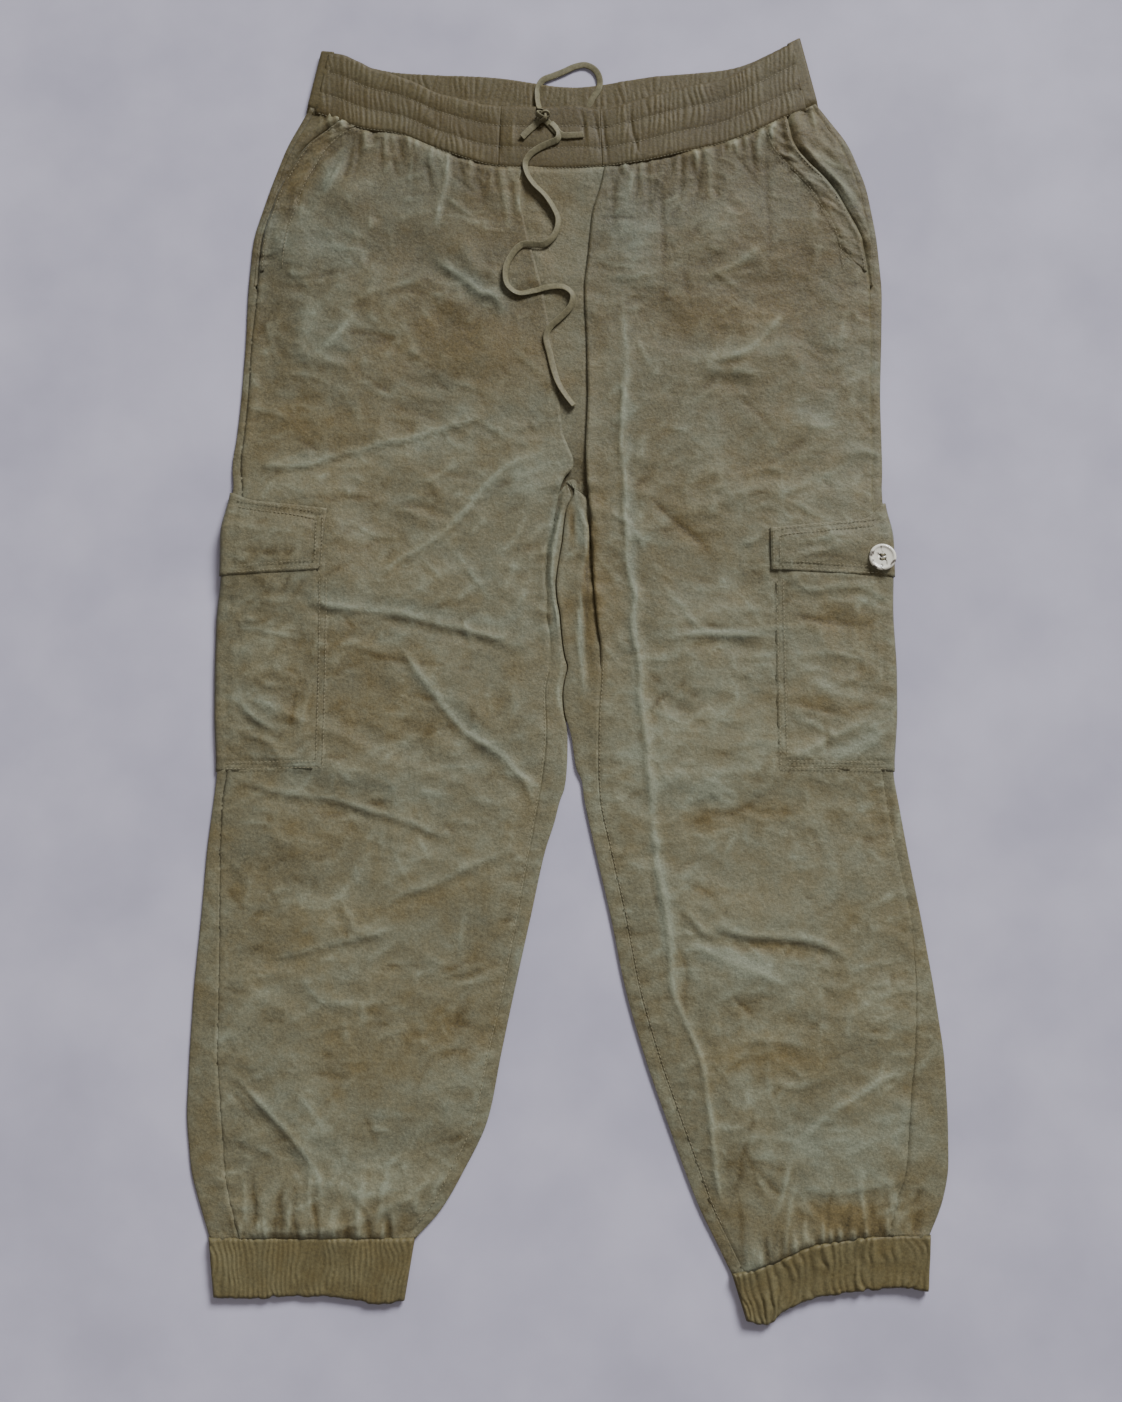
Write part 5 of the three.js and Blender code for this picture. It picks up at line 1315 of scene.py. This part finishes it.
def ribbon(name, path, rolls, node):
    """A flat stitched tape along a path, turned over along it; closed at both ends."""
    ring = 16
    angle = np.linspace(0, 2 * math.pi, ring, endpoint=False)
    wide = np.cos(angle) * TAPE_WIDTH / 2
    thick = np.sign(np.sin(angle)) * np.abs(np.sin(angle)) ** 0.6 * TAPE_HALF_THICK
    tangent = np.gradient(path, axis=0)
    tangent /= np.linalg.norm(tangent, axis=1, keepdims=True)
    across = np.cross(tangent, [0, 0, 1.0])
    across /= np.linalg.norm(across, axis=1, keepdims=True)
    up = np.cross(across, tangent)
    turn = np.radians(rolls)[:, None]
    a = np.cos(turn) * across + np.sin(turn) * up
    b = np.cos(turn) * up - np.sin(turn) * across
    body = sections(path, wide, a, thick, b)
    rows = len(path)
    vertices = np.concatenate([body.reshape(-1, 3), path[:1], path[-1:]])
    faces = grid_faces(rows, ring, True).tolist()
    for k in range(ring):
        n = (k + 1) % ring
        faces.append([k, n, rows * ring])
        faces.append([(rows - 1) * ring + n, (rows - 1) * ring + k, rows * ring + 1])
    mesh = bpy.data.meshes.new(name)
    mesh.from_pydata(vertices * MM, [], faces)
    mesh.update()
    set_wear(mesh, 0.2, 0.2)
    obj = new_object(name, mesh, tape_cloth, "tape", node)
    return obj


def tape_path(points, exposed=True):
    rows = np.array(points, float)
    dense = smooth_path(rows, 1.2)
    heights = [garment_top(x, y) for x, y in rows[:, :2]]
    heights[0] = min(heights[0], 12.0) if exposed else 0.4
    share = np.concatenate([[0], np.cumsum(np.hypot(*np.diff(rows[:, :2], axis=0).T))])
    dense_share = np.concatenate([[0], np.cumsum(np.hypot(*np.diff(dense[:, :2], axis=0).T))])
    under = smooth_curve(list(zip(share, heights)))(dense_share * share[-1] / dense_share[-1])
    rolls = ROLL_SHARE * dense[:, 2]
    turn = np.radians(rolls)
    z = under + 0.5 + np.abs(np.sin(turn)) * TAPE_WIDTH / 2 + np.cos(turn) * TAPE_HALF_THICK
    return np.column_stack([dense[:, :2], z]), rolls


def knot():
    """An overhand knot of the tape: a closed curl wound twice."""
    t = np.linspace(0, 2 * math.pi, 90, endpoint=False)
    centre = np.array([-20, 430.5, 9.6])
    x = (np.sin(t) + 2 * np.sin(2 * t)) * 1.75
    y = (np.cos(t) - 2 * np.cos(2 * t)) * 1.45
    z = -np.sin(3 * t) * 1.5
    path = centre + np.stack([x, y, z], 1)
    tangent = np.roll(path, -1, 0) - np.roll(path, 1, 0)
    tangent /= np.linalg.norm(tangent, axis=1, keepdims=True)
    outward = path - centre
    outward -= (outward * tangent).sum(1, keepdims=True) * tangent
    outward /= np.linalg.norm(outward, axis=1, keepdims=True)
    side = np.cross(tangent, outward)
    angle = np.linspace(0, 2 * math.pi, 14, endpoint=False)
    wide = np.cos(angle) * 2.3
    thick = np.sin(angle) * 1.1
    body = sections(path, wide, side, thick, outward)
    mesh = bpy.data.meshes.new("knot")
    loop = np.concatenate([body, body[:1]])
    faces = grid_faces(len(loop), 14, True) % (len(path) * 14)
    mesh.from_pydata(body.reshape(-1, 3) * MM, [], faces.tolist())
    mesh.update()
    set_wear(mesh, 0.2, 0.3)
    return new_object("knot", mesh, tape_cloth, "tape", "drawstring_knot")


knot_piece = knot()
for node_name, points in TAPE.items():
    path, rolls = tape_path(points, node_name != "drawstring_loop")
    tape = ribbon(node_name.replace("drawstring", "tape"), path, rolls, node_name)
    if node_name == "drawstring_short":
        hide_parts("drawstring_exit")


# ---------------------------------------------------------------- stitching
def stitch_line(store, path, height, pitch=3.1, length=2.3, radius=0.24):
    """Short raised threads along a path, each lying on the cloth."""
    path = smooth_path(path, 1.5)
    run = np.hypot(*np.diff(path, axis=0).T)
    place = np.concatenate([[0], np.cumsum(run)])
    starts = np.arange(0.5, place[-1] - length, pitch)
    if not len(starts):
        return
    shares = np.array([0, 0.25, 0.75, 1])
    spots = starts[:, None] + length * shares[None, :]
    x, y = np.interp(spots, place, path[:, 0]), np.interp(spots, place, path[:, 1])
    z = height(x, y) + np.array([-0.15, 0.12, 0.12, -0.15])
    centre = np.stack([x, y, z], -1)
    along = centre[:, -1, :2] - centre[:, 0, :2]
    along /= np.linalg.norm(along, axis=1, keepdims=True)
    side = np.stack([-along[:, 1], along[:, 0], 0 * along[:, 0]], 1)
    angle = np.linspace(0, 2 * math.pi, 6, endpoint=False)
    thick = radius * np.array([0.35, 1, 1, 0.35])
    ring = (np.cos(angle)[None, None, :, None] * side[:, None, None, :]
            + np.sin(angle)[None, None, :, None] * np.array([0, 0, 1.0]))
    store.append(centre[:, :, None, :] + thick[None, :, None, None] * ring)


def stitches(name, store, slot_name):
    body = np.concatenate(store)
    count = len(body)
    each = grid_faces(4, 6, True)
    caps = np.array([[0, 1, 2, 3], [0, 3, 4, 5], [21, 20, 19, 18], [18, 23, 22, 21]])
    one = np.concatenate([each, caps])
    faces = (one[None] + 24 * np.arange(count)[:, None, None]).reshape(-1, 4)
    mesh = bpy.data.meshes.new(name)
    mesh.from_pydata(body.reshape(-1, 3) * MM, [], faces.tolist())
    mesh.update()
    return new_object(name, mesh, thread, slot_name)


def skin(leg, raised=0.0, grow=0.0, creases=None):
    """Height of one leg's cloth, or of a patch on it, as a function of place."""
    return lambda x, y: leg_top(leg, x, y, grow, creases) + raised


def sew_legs():
    store = []
    for leg in LEGS:
        s = leg.side
        flap = skin(leg, 0.9, 2.3, FLAP_CREASES)
        pocket = skin(leg, 0.75, 1.15, POCKET_CREASES)
        edge = 157.0 if s > 0 else 187.5
        high, low = (98, 89) if s > 0 else (112, 102), FLAP_BOTTOM
        out_low, out_high, out_pocket = (float(leg.outer(y)) - 5 for y in (52, 112, -100))
        front = POCKET_EDGE[leg.name]
        for inset in STITCH_ROWS:
            a = s * (edge + inset)
            stitch_line(store, [(a, low[1] + inset), (a, high[1] - inset)], flap)
            stitch_line(store, [(a, low[1] + inset), (s * out_low, low[0] + inset)], flap)
            stitch_line(store, [(a, high[1] - inset), (s * out_high, high[0] - inset)], flap)
        for inset in STITCH_ROWS:
            a = s * (front + inset)
            stitch_line(store, [(a, 48), (a, -100 + inset)], pocket)
            stitch_line(store, [(a, -100 + inset), (s * out_pocket, -101 + inset)], pocket)
        for inset in (2.5, 19):
            path = []
            for y in np.arange(428, 300, -9.0):
                reach = float(leg.front_outer(y)) - inset
                path.append((s * reach, min(y, float(leg.waist(s * reach)) - 1)))
            stitch_line(store, path, skin(leg, 1.3))
        inseam = [(s * (float(leg.inseam(y)) + 2.5), y) for y in np.arange(-430, 60, 14.0)]
        stitch_line(store, inseam, skin(leg))
    return stitches("stitching_legs", store, "cloth")


def sew_band():
    store = []
    for v in (1 / 3, 2 / 3, 0.97):
        path = []
        for share in np.linspace(first + 0.004, last - 0.004, 60):
            (x_top, y_top, x_low, y_low), _ = band_column(FRONT_BAND, share)
            path.append((lerp(x_top, x_low, v), lerp(y_top, y_low, v)))
        stitch_line(store, path, lambda x, y, v=v: front_band_height(x, v + 0 * x) + 0.1, 2.8, 2.0)
    return stitches("stitching_band", store, "band")


sew_legs()
sew_band()


# ---------------------------------------------------------------- buttons
def button_material():
    """Pale horn with a soft dark cloud."""
    material, tree, shader, place = new_material("button_horn")
    settings = {"Scale": 95, "Detail": 5, "Distortion": 1.6}
    cloud = add_node(tree, "TexNoise", settings, place).outputs["Fac"]
    colour = ramp_between(tree, cloud, (0.09, 0.075, 0.062), (0.62, 0.585, 0.5), 0.39, 0.46)
    tree.links.new(colour, shader.inputs["Base Color"])
    shader.inputs["Roughness"].default_value = 0.28
    shader.inputs["Specular IOR Level"].default_value = 0.5
    shader.inputs["Coat Weight"].default_value = 0.25
    return material


def button(name, node, centre, facing, material):
    """A turned button: rounded rim, dished face, four holes; thread is added apart, to the left one only."""
    profile = [
        (0.0, 0.0), (8.6, 0.0), (9.6, 0.25), (10.3, 0.9), (10.5, 1.5), (10.2, 2.1), (9.6, 2.5), (8.9, 2.6),
        (8.3, 2.45), (7.8, 2.05), (7.4, 1.85), (6, 1.78), (3.6, 1.72),
    ]
    around = 72
    angle = np.linspace(0, 2 * math.pi, around, endpoint=False)
    rings = [np.stack([r * np.cos(angle), r * np.sin(angle), np.full(around, z)], -1) for r, z in profile[1:]]
    vertices = np.concatenate(rings)
    faces = grid_faces(len(rings), around, True)[:, ::-1].tolist()
    faces.append(list(range(around))[::-1])
    hub = list(range((len(rings) - 1) * around, len(rings) * around))
    mesh = bpy.data.meshes.new(name)
    faces.append(hub)
    mesh.from_pydata(vertices.tolist(), [], faces)
    mesh.update()
    obj = bpy.data.objects.new(name, mesh)
    bpy.context.scene.collection.objects.link(obj)
    holes = []
    for sx, sy in ((1, 1), (1, -1), (-1, 1), (-1, -1)):
        spot = (sx * 1.7, sy * 1.7, 1)
        bpy.ops.mesh.primitive_cylinder_add(vertices=20, radius=0.95, depth=9, location=spot)
        holes.append(bpy.context.object)
    for hole in holes:
        cut = obj.modifiers.new("hole", "BOOLEAN")
        cut.object = hole
        cut.operation = "DIFFERENCE"
    solid = bpy.data.meshes.new_from_object(obj.evaluated_get(bpy.context.evaluated_depsgraph_get()))
    for extra in [obj, *holes]:
        bpy.data.objects.remove(extra)
    tilt = np.array([0.05, -0.04])
    co = np.array([v.co for v in solid.vertices])
    co[:, 2] += co[:, :2] @ tilt * (facing > 0)
    co[:, 2] *= facing
    co[:, 1] *= facing
    solid.vertices.foreach_set("co", ((co + centre) * MM).ravel())
    solid.update()
    return new_object(name, solid, material, "button", node)


horn = button_material()
LEFT_BUTTON = np.array([242.6, 64.5, 0.0])
on_flap = skin(LEGS[0], 0.0, 2.3, FLAP_CREASES)
LEFT_BUTTON[2] = float(on_flap(np.array([234.0]), np.array([64.5]))[0]) + 1.1
button("button_left", "cargo_button_left", LEFT_BUTTON, 1, horn)
button("button_right", "cargo_button_right", np.array([-256, 64.5, 2.6]), -1, horn)


def button_thread():
    """Dark thread crossed through the four holes."""
    store = []
    level = LEFT_BUTTON[2] + 2.2
    for sy in (-1, 1):
        for offset in (-0.35, 0, 0.35):
            start = (LEFT_BUTTON[0] - 1.9, LEFT_BUTTON[1] + sy * 1.7 + offset)
            end = (LEFT_BUTTON[0] + 1.9, LEFT_BUTTON[1] + sy * 1.7 + offset)
            stitch_line(store, [start, end], lambda x, y: level + 0 * x, 9, 3.2, 0.26)
    return stitches("button_thread", store, "button")


button_thread()


# ---------------------------------------------------------------- camera, light and floor
def aim(obj, target):
    obj.rotation_euler = (Vector(target) - obj.location).to_track_quat("-Z", "Y").to_euler()


camera_data = bpy.data.cameras.new("camera")
camera_data.lens = 35
camera_data.sensor_width = 36
camera = bpy.data.objects.new("camera", camera_data)
camera.location = (-0.0053, -0.1917, 1.035)
camera.rotation_euler = (math.radians(8), 0, 0)
bpy.context.scene.collection.objects.link(camera)
bpy.context.scene.camera = camera


def area_light(name, place, size, power, colour):
    data = bpy.data.lights.new(name, "AREA")
    data.shape = "RECTANGLE"
    data.size, data.size_y = size
    data.energy = power
    data.color = colour
    light = bpy.data.objects.new(name, data)
    light.location = place
    aim(light, (0, 0, 0))
    bpy.context.scene.collection.objects.link(light)


area_light("window", (6.2, 11.0, 7.9), (6.0, 4.3), 4700, (0.95, 0.98, 1.0))
area_light("fill", (-0.7, -1.4, 2.4), (2.5, 2.5), 16, (1.0, 0.95, 0.88))
world = bpy.data.worlds.new("room")
world.use_nodes = True
world.node_tree.nodes["Background"].inputs["Color"].default_value = (0.9, 0.89, 0.92, 1)
world.node_tree.nodes["Background"].inputs["Strength"].default_value = 0.22
bpy.context.scene.world = world


def floor():
    material, tree, shader, place = new_material("floor")
    stain = add_node(tree, "TexNoise", {"Scale": 9, "Detail": 9}, place).outputs["Fac"]
    colour = ramp_between(tree, stain, (0.325, 0.305, 0.378), (0.405, 0.38, 0.462), 0.34, 0.66)
    tree.links.new(colour, shader.inputs["Base Color"])
    shader.inputs["Roughness"].default_value = 0.8
    size, level = 4.0, -0.0005
    corners = [(-size, -size), (size, -size), (size, size), (-size, size)]
    mesh = bpy.data.meshes.new("floor")
    mesh.from_pydata([(x, y, level) for x, y in corners], [], [(0, 1, 2, 3)])
    mesh.materials.append(material)
    obj = bpy.data.objects.new("floor", mesh)
    bpy.context.scene.collection.objects.link(obj)


floor()
